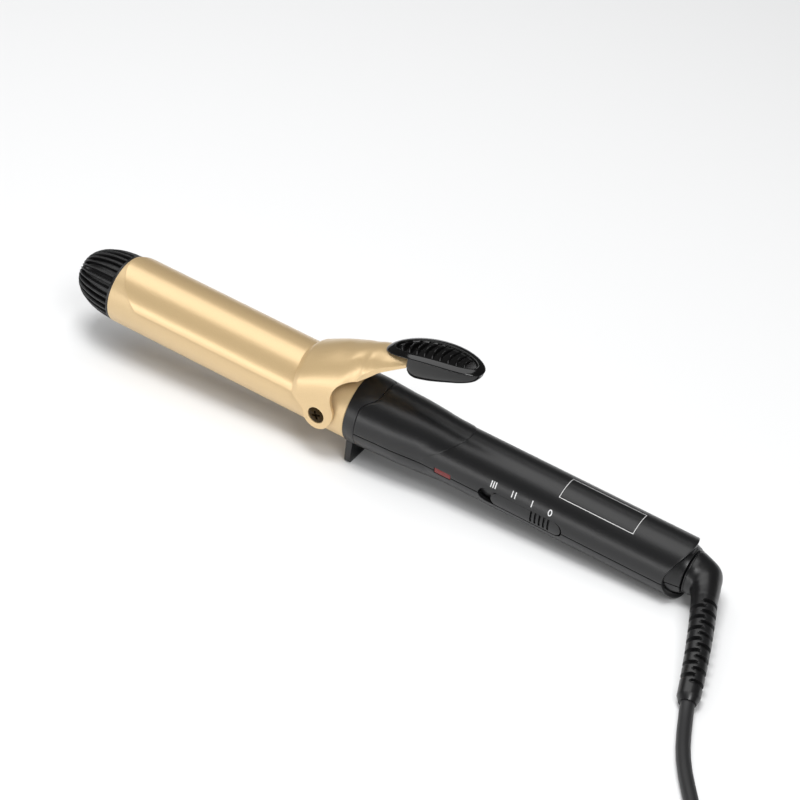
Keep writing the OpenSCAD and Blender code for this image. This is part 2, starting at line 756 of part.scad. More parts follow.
module slide_switch() {
    y0 = -board_w / 2 + 0.6;
    color([0.7, 0.7, 0.72]) placed() difference() {
        translate([switch_x - switch_l / 2, y0, board_top + seat]) cube([switch_l, switch_d, 6.6]);
        translate([switch_x - switch_l / 2 + 1, y0 - 1, stub_z - 1.6]) cube([switch_l - 2, 3, 3.2]);
    }
}

module switch_stub() {
    y0 = -board_w / 2 + 0.6;
    color([0.9, 0.9, 0.88]) placed()
        translate([switch_x + slider_travel / 2 - stub_w / 2, y0 - 1.4, stub_z - 1.2]) cube([stub_w, 3, 2.4]);
}

module switch_slider() {
    mid = slider_rear - slider_l / 2;
    flange_l = slot_l + 2 * flange_over;
    groove_pitch = 2.1;
    y0 = -board_w / 2 + 0.6;
    color([0.14, 0.14, 0.15]) placed() difference() {
        union() {
            intersection() {
                translate([mid, -handle_r, slot_z]) rotate([-90, 0, 0]) linear_extrude(4)
                    slider_outline(slider_l, slider_h);
                ring(mid - slider_l, 2 * slider_l, slider_r, flange_r - flange_t, 96);
            }
            intersection() {
                translate([slider_rear + flange_over - flange_l, -handle_r,
                           slot_z - slider_h / 2 - flange_over])
                    cube([flange_l, handle_r, slider_h + 2 * flange_over]);
                ring(mid - slider_l, 2 * slider_l, flange_r, flange_r - flange_t, 96);
            }
            for (s = [-1, 1])
                translate([switch_x + slider_travel / 2 + s * (stub_w / 2 + 0.7) - 0.6,
                           -flange_r + 0.6, stub_z - 1.2])
                cube([1.2, flange_r + y0 - 1.1, 2.4]);
        }
        for (i = [0:slider_grooves - 1])
            translate([slider_rear - 5.4 - groove_pitch * i, -handle_r - 1, slot_z - slider_h / 2 + 1.2])
                cube([0.9, 2, slider_h - 1.6]);
    }
}

module indicator_lens() {
    color([0.45, 0.06, 0.06]) placed() intersection() {
        translate([lens_x - lens_l / 2, -handle_r, lens_z - lens_h / 2]) cube([lens_l, 3.4, lens_h]);
        rod(lens_x - lens_l, 2 * lens_l, handle_r - 0.1, fn = 96);
    }
}

module indicator_lamp() {
    y0 = -handle_r + 3.6;
    color([0.85, 0.3, 0.25]) placed() union() {
        cross_rod(lens_x, y0, 5, lamp_d / 2, lens_z - 0.6);
        for (s = [-1, 1]) translate([lens_x + s, y0 + 4, board_top + seat])
            cylinder(h = lens_z - 0.6 - board_top, d = 0.7, $fn = 24);
    }
}

module heater_leads() {
    x0 = spreader_x + spreader_l + seat;
    color([0.85, 0.85, 0.82]) placed() for (y = [-lead_y, lead_y])
        rod(x0, board_x + 5 - x0, lead_d / 2, y, board_top + lead_d / 2 + seat, 24);
}

module mains_leads() {
    x0 = board_x + board_l - 8;
    color([0.2, 0.35, 0.6]) placed() for (y = [-lead_y, lead_y])
        rod(x0, contact_xs[1] - 1 - x0, lead_d / 2, y, board_top + lead_d / 2 + seat, 24);
}

// Leaf contacts that bear on the swivel's rings
module contact_springs() {
    color([0.85, 0.68, 0.35]) placed() for (i = [0, 1]) let(s = i == 0 ? 1 : -1)
        translate([contact_xs[1] - 1 + seat, s > 0 ? contact_r + 0.15 : -contact_r - 0.65, board_top - 1])
            cube([i == 0 ? contact_xs[0] - contact_xs[1] + 2 : 2.4, 0.5, 7]);
}

module contact_rings() {
    color([0.85, 0.68, 0.35]) placed() for (x = contact_xs)
        ring(x - contact_w / 2, contact_w, contact_r, post_r + 0.02);
}

// ---- swivel and strain relief ----
outlet_dir = [cos(elbow_turn), -sin(elbow_turn), 0];
outlet = [elbow_mid, 0, 0] + elbow_reach * outlet_dir;

module swivel_elbow() {
    color([0.08, 0.08, 0.08]) placed() union() {
        difference() {
            hull() {
                rod(elbow_x, elbow_ring, elbow_r, fn = 48);
                translate([elbow_mid - 0.6, 0, 0]) sphere(r = elbow_ball, $fn = 32);
                along(outlet - 3 * outlet_dir, outlet_dir) cylinder(h = 3, r = outlet_r, $fn = 32);
            }
            rod(elbow_x - 20, 20, 2 * elbow_r);
        }
        difference() {
            rod(bulkhead_x - 2, elbow_x - bulkhead_x + 3, spigot_r);
            ring(bulkhead_x - 1.6, clip_t + 0.1, spigot_r + 1, spigot_r - 1);
        }
        rod(bulkhead_x - post_l, post_l, post_r, fn = 32);
    }
}

module swivel_clip() {
    color([0.6, 0.6, 0.62]) placed() difference() {
        ring(bulkhead_x - 1.55, clip_t, clip_r, spigot_r - 0.9);
        translate([bulkhead_x - 3, -2.5, 0]) cube([6, 5, clip_r + 1]);
    }
}

// Curve of the strain relief on the table frame
relief_start = to_table(outlet);
relief_dir = unit(to_table(outlet + outlet_dir) - relief_start);
relief_mid = relief_start + 0.5 * norm(relief_end - relief_start) * relief_dir;
function relief_at(t) = (1 - t) * (1 - t) * relief_start + 2 * t * (1 - t) * relief_mid + t * t * relief_end;
function relief_slope(t) = 2 * (1 - t) * (relief_mid - relief_start) + 2 * t * (relief_end - relief_mid);
function relief_r(t) = relief_d / 2 - 0.8 * t;

module strain_relief() {
    pitch = 1 / relief_rings;
    ring_t = 3;
    color([0.08, 0.08, 0.08]) union() {
        skin([for (i = [0:16])
            hoop(relief_at(i / 16), relief_slope(i / 16), relief_r(i / 16) - 1.3, 16)]);
        for (i = [0:relief_rings - 1]) let(t = (i + 0.35) * pitch, d = unit(relief_slope(t)))
            along(relief_at(t) - d * ring_t / 2, d) cylinder(h = ring_t, r = relief_r(t), $fn = 32);
    }
}

// ---- cord ----
module mains_cord() {
    color([0.16, 0.16, 0.17]) swept(cord_route, cord_r, 10);
}

module cord_tail() {
    color([0.16, 0.16, 0.17]) swept(tail_route, cord_r, 10);
}

// Outline of the coil's turns: x from its inner to its outer radius
module coil_section(grow) {
    w = coil_wide * cord_d + 2 * grow;
    h = coil_high * cord_d + 2 * grow;
    c = 2;
    translate([coil_d / 2 - w / 2, -grow])
        polygon([[c, 0], [w - c, 0], [w, c], [w, h - c], [w - c, h], [c, h], [0, h - c], [0, c]]);
}

module cord_coil() {
    color([0.16, 0.16, 0.17])
        translate([coil_c.x, coil_c.y, coil_z]) rotate_extrude($fn = 72) coil_section(0);
}

// Strap round the coil
module cord_tie() {
    color([0.05, 0.05, 0.05]) translate([coil_c.x, coil_c.y, coil_z]) rotate([0, 0, tie_angle])
        rotate_extrude(angle = tie_span, $fn = 72) difference() {
            coil_section(tie_t + 0.1);
            coil_section(0.1);
        }
}

module plug_body() {
    color([0.1, 0.1, 0.1]) translate(plug_at) mirror([1, 0, 0]) difference() {
        union() {
            rotate([0, 90, 0]) cylinder(h = plug_neck_l + 1, r1 = cord_r + 0.9, r2 = cord_r + 2.2, $fn = 48);
            for (i = [0:3]) translate([2.5 + 3.2 * i, 0, 0]) rotate([0, 90, 0])
                cylinder(h = 1.6, r = cord_r + 1.9 + 0.3 * i, $fn = 48);
            hull() {
                translate([plug_neck_l, 0, 0]) rotate([0, 90, 0]) cylinder(h = 2, r = cord_r + 3, $fn = 32);
                for (s = [-1, 1], x = [12, plug_body_l - 2])
                    translate([plug_neck_l + x, s * (plug_w / 2 - plug_h / 2), 0])
                    rotate([0, 90, 0]) cylinder(h = 2, r = plug_h / 2, $fn = 32);
            }
        }
        for (s = [-1, 1]) translate([plug_neck_l + plug_body_l - pin_root - seat, s * pin_gap / 2, 0])
            rotate([0, 90, 0]) cylinder(h = pin_root + 2, r = pin_d / 2 - 0.18, $fn = 48);
    }
}

module plug_pins() {
    color([0.8, 0.8, 0.8]) translate(plug_at) mirror([1, 0, 0]) for (s = [-1, 1])
        translate([plug_neck_l + plug_body_l, s * pin_gap / 2, 0]) rotate([0, 90, 0]) union() {
            translate([0, 0, -pin_root]) cylinder(h = pin_root + 1, r = pin_d / 2 - 0.2, $fn = 48);
            translate([0, 0, seat]) cylinder(h = pin_l - pin_chamfer - seat, r = pin_d / 2, $fn = 48);
            cylinder(h = pin_l, r = pin_d / 2 - pin_chamfer, $fn = 48);
        }
}

tip_cap();
barrel_tube();
spreader_top();
spreader_bottom();
ceramic_heater();
thermal_fuse();
temperature_sensor();
barrel_mount();
pivot_inserts();
pivot_screws();
clamp_plate();
clamp_lever();
clamp_spring();
thumb_rest();
thumb_rest_screw();
collar_foot();
upper_shell();
lower_shell();
shell_screws();
circuit_board();
slide_switch();
switch_stub();
switch_slider();
indicator_lens();
indicator_lamp();
heater_leads();
mains_leads();
contact_springs();
swivel_elbow();
swivel_clip();
contact_rings();
strain_relief();
mains_cord();
cord_coil();
cord_tail();
cord_tie();
plug_body();
plug_pins();
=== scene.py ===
import json
import math

import bmesh
import bpy
from mathutils import Matrix, Vector


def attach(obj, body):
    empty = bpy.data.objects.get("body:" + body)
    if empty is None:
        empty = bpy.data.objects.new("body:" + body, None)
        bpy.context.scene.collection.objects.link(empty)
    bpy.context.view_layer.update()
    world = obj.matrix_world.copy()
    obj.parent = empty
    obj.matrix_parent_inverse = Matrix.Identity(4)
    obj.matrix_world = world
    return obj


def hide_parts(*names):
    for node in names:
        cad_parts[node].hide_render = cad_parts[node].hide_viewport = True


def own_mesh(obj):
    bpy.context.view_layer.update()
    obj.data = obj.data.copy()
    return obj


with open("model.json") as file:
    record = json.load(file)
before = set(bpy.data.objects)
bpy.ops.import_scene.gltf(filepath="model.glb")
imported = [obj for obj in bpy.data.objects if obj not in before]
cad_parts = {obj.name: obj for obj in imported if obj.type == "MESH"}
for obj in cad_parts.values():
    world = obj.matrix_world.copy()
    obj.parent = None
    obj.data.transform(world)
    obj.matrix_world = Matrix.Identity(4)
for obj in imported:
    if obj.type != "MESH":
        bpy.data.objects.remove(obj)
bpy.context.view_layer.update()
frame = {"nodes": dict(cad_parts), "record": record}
print("frame loaded:", len(frame["nodes"]), "nodes")

# The iron is drawn along X in millimetres, x = 0 at the joint of tip and barrel, its axis
# at y = z = 0. ironToRow tilts it onto its foot and turns it into metres.
mm = 0.001
iron = {"footMid": 129.75, "footDrop": 25.0, "handleR": 13.8, "rearX": 291.3, "barrelR": 16.0,
        "boreR": 14.8, "pivotX": 115.5, "collarX": 128.0, "handleX": 134.0, "seamZ": -2.0}
tilt = math.atan((iron["footDrop"] - iron["handleR"]) / (iron["rearX"] - iron["footMid"]))
ironToRow = (Matrix.Scale(mm, 4) @ Matrix.Rotation(tilt, 4, "Y")
             @ Matrix.Translation((-iron["footMid"], 0, iron["footDrop"])))
rowInMm = Matrix.Scale(mm, 4)

# Camera: angles in degrees, place in metres, lens in millimetres
view = {"azimuth": 29.81, "elevation": 38.15, "roll": 3.80,
        "place": (0.44712, -0.74779, 0.71408), "lens": 113.94}


def makeCamera():
    az, el, roll = (math.radians(view[k]) for k in ("azimuth", "elevation", "roll"))
    back = Vector((math.sin(az) * math.cos(el), -math.cos(az) * math.cos(el), math.sin(el)))
    level = Vector((math.cos(az), math.sin(az), 0))
    right = level * math.cos(roll) + back.cross(level) * math.sin(roll)
    up = back.cross(right)
    data = bpy.data.cameras.new("camera")
    data.lens = view["lens"]
    data.sensor_width = 36
    data.clip_start = 0.05
    data.clip_end = 20
    camera = bpy.data.objects.new("camera", data)
    bpy.context.collection.objects.link(camera)
    turn = Matrix((right, up, back)).transposed().to_4x4()
    camera.matrix_world = Matrix.Translation(Vector(view["place"])) @ turn
    bpy.context.scene.camera = camera


makeCamera()
print("camera placed")


# A node in any tree. inputs gives sockets a value or another node's output, settings are the node's own.
def addNode(tree, kind, inputs=(), **settings):
    node = tree.nodes.new(kind)
    for key, value in settings.items():
        setattr(node, key, value)
    for socket, value in dict(inputs).items():
        if isinstance(value, bpy.types.NodeSocket):
            tree.links.new(value, node.inputs[socket])
        else:
            node.inputs[socket].default_value = value
    return node


def mathNode(tree, operation, *values):
    return addNode(tree, "ShaderNodeMath", enumerate(values), operation=operation).outputs[0]


# An empty shader group with named inputs and outputs
def newGroup(name, inputs, outputs):
    group = bpy.data.node_groups.new(name, "ShaderNodeTree")
    for label, kind, value in inputs:
        socket = group.interface.new_socket(label, in_out="INPUT", socket_type=kind)
        socket.default_value = value
    for label, kind in outputs:
        group.interface.new_socket(label, in_out="OUTPUT", socket_type=kind)
    return group, group.nodes.new("NodeGroupInput"), group.nodes.new("NodeGroupOutput")


# Fine moulded grain: a height for bump and a roughness that wanders a little
def makeGrainGroup():
    group, source, sink = newGroup(
        "mouldedGrain",
        [("Scale", "NodeSocketFloat", 900.0), ("Roughness", "NodeSocketFloat", 0.4),
         ("Wander", "NodeSocketFloat", 0.06)],
        [("Height", "NodeSocketFloat"), ("Roughness", "NodeSocketFloat")])
    place = addNode(group, "ShaderNodeTexCoord").outputs["Object"]
    scale = source.outputs["Scale"]
    fine = addNode(group, "ShaderNodeTexNoise", {"Vector": place, "Scale": scale, "Detail": 3})
    broad = addNode(group, "ShaderNodeTexNoise", {"Vector": place, "Scale": 60, "Detail": 2})
    centred = mathNode(group, "SUBTRACT", broad.outputs["Fac"], 0.5)
    rough = mathNode(group, "MULTIPLY_ADD", centred, source.outputs["Wander"], source.outputs["Roughness"])
    group.links.new(fine.outputs["Fac"], sink.inputs["Height"])
    group.links.new(rough, sink.inputs["Roughness"])
    return group


# Flecked lacquer: a colour between two tones and a height, for metallic paint
def makeFleckGroup():
    group, source, sink = newGroup(
        "metalFleck",
        [("Light", "NodeSocketColor", (0.8, 0.8, 0.8, 1)), ("Deep", "NodeSocketColor", (0.5, 0.5, 0.5, 1)),
         ("Scale", "NodeSocketFloat", 2500.0)],
        [("Color", "NodeSocketColor"), ("Height", "NodeSocketFloat")])
    place = addNode(group, "ShaderNodeTexCoord").outputs["Object"]
    scale = source.outputs["Scale"]
    fleck = addNode(group, "ShaderNodeTexNoise", {"Vector": place, "Scale": scale, "Detail": 2})
    mix = addNode(group, "ShaderNodeMix", {"Factor": fleck.outputs["Fac"], "A": source.outputs["Deep"],
                                           "B": source.outputs["Light"]}, data_type="RGBA")
    group.links.new(mix.outputs["Result"], sink.inputs["Color"])
    group.links.new(fleck.outputs["Fac"], sink.inputs["Height"])
    return group


grainGroup = makeGrainGroup()
fleckGroup = makeFleckGroup()


# sockets are other inputs of the Principled shader, with an underscore for each space
def newMaterial(name, color, roughness=0.4, metallic=0.0, **sockets):
    material = bpy.data.materials.new(name)
    material.use_nodes = True
    shader = material.node_tree.nodes["Principled BSDF"]
    shader.inputs["Base Color"].default_value = (*color, 1)
    shader.inputs["Roughness"].default_value = roughness
    shader.inputs["Metallic"].default_value = metallic
    for label, value in sockets.items():
        shader.inputs[label.replace("_", " ")].default_value = value
    return material, shader


def addBump(material, shader, height, strength, depth):
    bump = addNode(material.node_tree, "ShaderNodeBump", {"Strength": strength, "Distance": depth,
                                                          "Height": height})
    material.node_tree.links.new(bump.outputs["Normal"], shader.inputs["Normal"])


# Moulded plastic, rubber or paint with a fine grain
def moulded(name, color, roughness, scale=1900.0, wander=0.05, bump=0.35, depth=0.00005, **sockets):
    material, shader = newMaterial(name, color, roughness, **sockets)
    grain = addNode(material.node_tree, "ShaderNodeGroup", node_tree=grainGroup)
    for label, value in (("Scale", scale), ("Roughness", roughness), ("Wander", wander)):
        grain.inputs[label].default_value = value
    material.node_tree.links.new(grain.outputs["Roughness"], shader.inputs["Roughness"])
    addBump(material, shader, grain.outputs["Height"], bump, depth)
    return material


# Metal or metallic lacquer with fine flecks
def flecked(name, light, deep, roughness, metallic, scale=2500.0, bump=0.08, depth=0.00002, **sockets):
    material, shader = newMaterial(name, light, roughness, metallic, **sockets)
    fleck = addNode(material.node_tree, "ShaderNodeGroup", node_tree=fleckGroup)
    for label, value in (("Light", (*light, 1)), ("Deep", (*deep, 1)), ("Scale", scale)):
        fleck.inputs[label].default_value = value
    material.node_tree.links.new(fleck.outputs["Color"], shader.inputs["Base Color"])
    addBump(material, shader, fleck.outputs["Height"], bump, depth)
    return material


champagne = flecked("champagneLacquer", (0.82, 0.6, 0.325), (0.74, 0.53, 0.27), 0.32, 0.35,
                    Specular_IOR_Level=0.6, Coat_Weight=0.35, Coat_Roughness=0.26)
# The barrel's copy of the champagne lacquer, its colour painted a little darker than the clamp's as painted
# shade below the plate; it is also rougher and has less coat
shadedBarrelLacquer = flecked("shadedBarrelLacquer", (0.78, 0.58, 0.32), (0.71, 0.515, 0.27), 0.42, 0.25,
                     Specular_IOR_Level=0.5, Coat_Weight=0.15, Coat_Roughness=0.35)
satinBlack = moulded("satinBlack", (0.0085, 0.0085, 0.009), 0.33)
tipBlack = moulded("tipBlack", (0.011, 0.011, 0.0115), 0.38, scale=1400)
glossBlack = moulded("glossBlack", (0.004, 0.004, 0.004), 0.1, wander=0.02, bump=0.01)
cordBlack = moulded("cordBlack", (0.022, 0.022, 0.023), 0.5, scale=500)
reliefBlack = moulded("reliefBlack", (0.010, 0.010, 0.0105), 0.34, scale=1400)
plugBlack = moulded("plugBlack", (0.012, 0.012, 0.0125), 0.4)
tieBlack = moulded("tieBlack", (0.012, 0.012, 0.012), 0.6, scale=1800, bump=0.6)
printWhite = moulded("printWhite", (0.85, 0.85, 0.85), 0.5)
bronze = flecked("darkBronze", (0.055, 0.034, 0.014), (0.016, 0.010, 0.004), 0.13, 1.0)
steel = flecked("brightSteel", (0.62, 0.62, 0.63), (0.5, 0.5, 0.51), 0.25, 1.0)
castAluminium = flecked("castAluminium", (0.7, 0.71, 0.73), (0.55, 0.56, 0.58), 0.45, 1.0)
brass = flecked("brass", (0.78, 0.58, 0.25), (0.65, 0.46, 0.18), 0.3, 1.0)
nickel = flecked("nickelPlate", (0.72, 0.71, 0.69), (0.62, 0.61, 0.59), 0.15, 1.0)
lampRed = moulded("lampRed", (0.17, 0.010, 0.009), 0.12, wander=0.02, bump=0.02)
ceramic = moulded("whiteCeramic", (0.72, 0.70, 0.64), 0.7)
carrierBrown = moulded("carrierBrown", (0.06, 0.045, 0.035), 0.6)
boardGreen = moulded("boardGreen", (0.015, 0.12, 0.05), 0.35)
stubWhite = moulded("stubWhite", (0.7, 0.7, 0.68), 0.5)
leadWhite = moulded("leadWhite", (0.62, 0.62, 0.58), 0.5)
leadBlue = moulded("leadBlue", (0.03, 0.09, 0.3), 0.5)
beadBrown = moulded("beadBrown", (0.12, 0.03, 0.01), 0.15)

slotMaterials = {"champagne_metal": champagne, "black_plastic": tipBlack, "handle_black": satinBlack,
                 "gloss_black": glossBlack, "aluminium": castAluminium, "ceramic": ceramic, "steel": steel,
                 "glazed_bead": beadBrown, "carrier_plastic": carrierBrown, "brass": brass,
                 "bronzed_steel": bronze, "spring_steel": steel, "board_green": boardGreen,
                 "white_plastic": stubWhite, "lamp_red": lampRed, "lead_white": leadWhite,
                 "lead_blue": leadBlue, "cord_rubber": cordBlack, "tie_black": tieBlack,
                 "plug_rubber": plugBlack, "nickel_pins": nickel}
for part in frame["record"]["subparts"]:
    node = frame["nodes"][part["node"]]
    node.data.materials.clear()
    node.data.materials.append(slotMaterials[part["material_slot"]])
print("materials made:", len(bpy.data.materials))


# Rows of points become a grid of faces. loop closes each row, ends caps the first and last row.
def gridMesh(name, rows, loop=False, ends=False):
    columns = len(rows[0])
    points = [tuple(p) for row in rows for p in row]
    faces = []
    for i in range(len(rows) - 1):
        for j in range(columns if loop else columns - 1):
            k = (j + 1) % columns
            faces.append((i * columns + j, i * columns + k, (i + 1) * columns + k, (i + 1) * columns + j))
    if ends:
        faces.append(tuple(range(columns - 1, -1, -1)))
        faces.append(tuple((len(rows) - 1) * columns + j for j in range(columns)))
    mesh = bpy.data.meshes.new(name)
    mesh.from_pydata(points, [], faces)
    tidyMesh(mesh)
    return mesh


# Merges doubles and turns the faces outwards, while the mesh is in millimetres
def tidyMesh(mesh):
    work = bmesh.new()
    work.from_mesh(mesh)
    bmesh.ops.remove_doubles(work, verts=work.verts, dist=1e-4)
    bmesh.ops.dissolve_degenerate(work, edges=work.edges, dist=1e-5)
    bmesh.ops.recalc_face_normals(work, faces=work.faces)
    work.to_mesh(mesh)
    work.free()


# Angles once round, in equal steps
def around(steps):
    return [2 * math.pi * i / steps for i in range(steps)]


# A closed body turned about the X axis: outline is a closed list of (x, radius)
def turnedMesh(name, outline, steps=96):
    rows = [[(x, r * math.cos(a), r * math.sin(a)) for x, r in outline] for a in around(steps)]
    return gridMesh(name, rows + rows[:1], loop=True)


# A round bar across the iron, from y0 to y1
def barMesh(name, x, r, y0, y1, steps=48):
    rings = [[(x + r * math.cos(a), y, r * math.sin(a)) for a in around(steps)] for y in (y0, y1)]
    return gridMesh(name, rings, loop=True, ends=True)


# A unit cube moved, turned and scaled by the matrix
def boxMesh(name, place):
    work = bmesh.new()
    bmesh.ops.create_cube(work, size=1)
    work.transform(place)
    mesh = bpy.data.meshes.new(name)
    work.to_mesh(mesh)
    work.free()
    return mesh


def addPiece(name, mesh, material):
    piece = bpy.data.objects.new(name, mesh)
    bpy.context.collection.objects.link(piece)
    if material and not mesh.materials:
        mesh.materials.append(material)
    return piece


# A bar across the iron from y0 to y1, with the given outline of x and z
def prismPiece(name, points, y0, y1):
    rings = [[(x, y, z) for x, z in points] for y in (y0, y1)]
    return addPiece(name, gridMesh(name, rings, loop=True, ends=True), satinBlack)


def addModifier(piece, kind, **settings):
    modifier = piece.modifiers.new(kind.lower(), kind)
    for key, value in settings.items():
        setattr(modifier, key, value)
    return modifier


# Rounds the edges that are sharper than the angle
def bevelEdges(piece, width, segments, angle=50):
    addModifier(piece, "BEVEL", width=width, segments=segments, limit_method="ANGLE",
                angle_limit=math.radians(angle))


# Applies the modifiers
def keepShape(piece):
    graph = bpy.context.evaluated_depsgraph_get()
    graph.update()
    plain = bpy.data.meshes.new_from_object(piece.evaluated_get(graph))
    piece.modifiers.clear()
    piece.data = plain


# Applies the modifiers, moves the mesh to its place, turns it right side out if the place mirrors it,
# and ties the piece to the frame. Edges sharper than the angle stay hard.
def settle(piece, body, nodes, place=ironToRow, angle=40):
    keepShape(piece)
    piece.data.transform(place)
    if place.determinant() < 0:
        piece.data.flip_normals()
    for face in piece.data.polygons:
        face.use_smooth = True
    sharpen(piece.data, angle)
    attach(piece, body)
    if nodes:
        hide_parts(*nodes)
    return piece


def sharpen(mesh, angle):
    work = bmesh.new()
    work.from_mesh(mesh)
    for edge in work.edges:
        if len(edge.link_faces) == 2:
            edge.smooth = edge.calc_face_angle(0) < math.radians(angle)
    work.to_mesh(mesh)
    work.free()


# Takes the cutter away from the piece and deletes the cutter
def cutWith(piece, cutter):
    cut = addModifier(piece, "BOOLEAN", operation="DIFFERENCE", solver="EXACT")
    cut.object = cutter
    keepShape(piece)
    bpy.data.objects.remove(cutter)
    tidyMesh(piece.data)


def smoothStep(low, high, value):
    t = min(max((value - low) / (high - low), 0), 1)
    return t * t * (3 - 2 * t)


# Smooth line through key values: keys is a list of (x, value, value, ...)
def between(keys, x):
    if x <= keys[0][0]:
        return keys[0][1:]
    for i in range(len(keys) - 1):
        if x <= keys[i + 1][0]:
            before, low, high = keys[max(i - 1, 0)], keys[i], keys[i + 1]
            after = keys[min(i + 2, len(keys) - 1)]
            t = (x - low[0]) / (high[0] - low[0])
            out = []
            for n in range(1, len(low)):
                span = high[0] - low[0]
                s0 = (high[n] - before[n]) / (high[0] - before[0]) * span
                s1 = (after[n] - low[n]) / (after[0] - low[0]) * span
                out.append((2 * t**3 - 3 * t**2 + 1) * low[n] + (t**3 - 2 * t**2 + t) * s0
                           + (3 * t**2 - 2 * t**3) * high[n] + (t**3 - t**2) * s1)
            return out
    return keys[-1][1:]


# Power that keeps the sign
def spower(value, power):
    return math.copysign(abs(value) ** power, value)


def spread(low, high, count):
    return [low + (high - low) * i / (count - 1) for i in range(count)]


# Node trees for what repeats. The names give each input's identifier.
def newTree(name, inputs):
    tree = bpy.data.node_groups.new(name, "GeometryNodeTree")
    tree.interface.new_socket("Geometry", in_out="OUTPUT", socket_type="NodeSocketGeometry")
    tree.interface.new_socket("Geometry", in_out="INPUT", socket_type="NodeSocketGeometry")
    names = {}
    for label, kind, value in inputs:
        socket = tree.interface.new_socket(label, in_out="INPUT", socket_type=kind)
        socket.default_value = value
        names[label] = socket.identifier
    socket = tree.interface.new_socket("Material", in_out="INPUT", socket_type="NodeSocketMaterial")
    names["Material"] = socket.identifier
    return tree, names, tree.nodes.new("NodeGroupInput"), tree.nodes.new("NodeGroupOutput")


def endTree(tree, source, sink, shape):
    realize = addNode(tree, "GeometryNodeRealizeInstances", {"Geometry": shape})
    paint = addNode(tree, "GeometryNodeSetMaterial", {"Geometry": realize.outputs["Geometry"],
                                                      "Material": source.outputs["Material"]})
    tree.links.new(paint.outputs["Geometry"], sink.inputs["Geometry"])


# Copies of the mesh all round the X axis
def makeRoundTree():
    tree, names, source, sink = newTree("roundTheAxis", [("Count", "NodeSocketInt", 28)])
    line = addNode(tree, "GeometryNodeMeshLine", {"Offset": (0, 0, 0), "Count": source.outputs["Count"]})
    index = addNode(tree, "GeometryNodeInputIndex").outputs[0]
    step = mathNode(tree, "DIVIDE", 2 * math.pi, source.outputs["Count"])
    turn = addNode(tree, "ShaderNodeCombineXYZ", {"X": mathNode(tree, "MULTIPLY", index, step)})
    place = addNode(tree, "GeometryNodeInstanceOnPoints", {
        "Points": line.outputs["Mesh"], "Instance": source.outputs["Geometry"], "Rotation": turn.outputs[0]})
    endTree(tree, source, sink, place.outputs["Instances"])
    return tree, names


# A round wire wound into a coil along Z
def makeWireTree():
    tree, names, source, sink = newTree(
        "woundWire", [("Turns", "NodeSocketFloat", 6.0), ("Radius", "NodeSocketFloat", 4.0),
                      ("Height", "NodeSocketFloat", 10.0), ("Wire", "NodeSocketFloat", 0.45)])
    given = source.outputs
    spiral = addNode(tree, "GeometryNodeCurveSpiral", {
        "Resolution": 32, "Rotations": given["Turns"], "Start Radius": given["Radius"],
        "End Radius": given["Radius"], "Height": given["Height"]})
    ring = addNode(tree, "GeometryNodeCurvePrimitiveCircle", {"Resolution": 12, "Radius": given["Wire"]})
    tube = addNode(tree, "GeometryNodeCurveToMesh", {
        "Fill Caps": True, "Curve": spiral.outputs["Curve"], "Profile Curve": ring.outputs["Curve"]})
    endTree(tree, source, sink, tube.outputs["Mesh"])
    return tree, names


# Copies of the mesh in a row along X, on a slope with an arch, each as wide as an oval is there
def makeRowTree():
    tree, names, source, sink = newTree(
        "rowInOval", [("Count", "NodeSocketInt", 10), ("Start", "NodeSocketFloat", 0.0),
                      ("Pitch", "NodeSocketFloat", 3.5), ("Middle", "NodeSocketFloat", 0.0),
                      ("Half Length", "NodeSocketFloat", 20.0), ("Rise", "NodeSocketFloat", 0.2),
                      ("Arch", "NodeSocketFloat", 3.0)])
    given = source.outputs
    line = addNode(tree, "GeometryNodeMeshLine", {"Offset": (0, 0, 0), "Count": given["Count"]})
    index = addNode(tree, "GeometryNodeInputIndex").outputs[0]
    along = mathNode(tree, "MULTIPLY_ADD", index, given["Pitch"], given["Start"])
    past = mathNode(tree, "SUBTRACT", along, given["Middle"])
    off = mathNode(tree, "DIVIDE", past, given["Half Length"])
    fall = mathNode(tree, "MULTIPLY", off, off)
    width = mathNode(tree, "SQRT", mathNode(tree, "SUBTRACT", 1.0, fall))
    level = mathNode(tree, "MULTIPLY", past, given["Rise"])
    height = mathNode(tree, "SUBTRACT", level, mathNode(tree, "MULTIPLY", fall, given["Arch"]))
    at = addNode(tree, "ShaderNodeCombineXYZ", {"X": along, "Z": height})
    size = addNode(tree, "ShaderNodeCombineXYZ", {"X": 1, "Y": width, "Z": 1})
    move = addNode(tree, "GeometryNodeSetPosition", {"Geometry": line.outputs["Mesh"],
                                                     "Position": at.outputs[0]})
    place = addNode(tree, "GeometryNodeInstanceOnPoints", {
        "Points": move.outputs["Geometry"], "Instance": given["Geometry"], "Scale": size.outputs[0]})
    endTree(tree, source, sink, place.outputs["Instances"])
    return tree, names


roundTree, wireTree, rowTree = makeRoundTree(), makeWireTree(), makeRowTree()


# Runs the tree on the piece and keeps the result. values are its inputs, with an underscore for each space.
def applyTree(piece, tree, material, **values):
    group, names = tree
    modifier = piece.modifiers.new(group.name, "NODES")
    modifier.node_group = group
    modifier[names["Material"]] = material
    for label, value in values.items():
        modifier[names[label.replace("_", " ")]] = value
    keepShape(piece)


# Moves the meshes of the others, with their materials, into the target
def joinPieces(target, *others):
    work = bmesh.new()
    work.from_mesh(target.data)
    for other in others:
        before = len(work.faces)
        work.from_mesh(other.data)
        work.faces.ensure_lookup_table()
        for material in other.data.materials:
            if material.name not in target.data.materials:
                target.data.materials.append(material)
        index = target.data.materials.find(other.data.materials[0].name)
        for face in work.faces[before:]:
            face.material_index = index
    work.to_mesh(target.data)
    work.free()
    for other in others:
        bpy.data.objects.remove(other)


print("node trees made")

# Mains cord
cord = {"radius": 3.0, "coilCentre": (225, -179.5), "coilBase": 4.1, "ringStep": 6.0, "layerStep": 6.0,
        "innerRing": 25.5, "stepTurn": 6, "shift": 0.9, "length": 1.8}
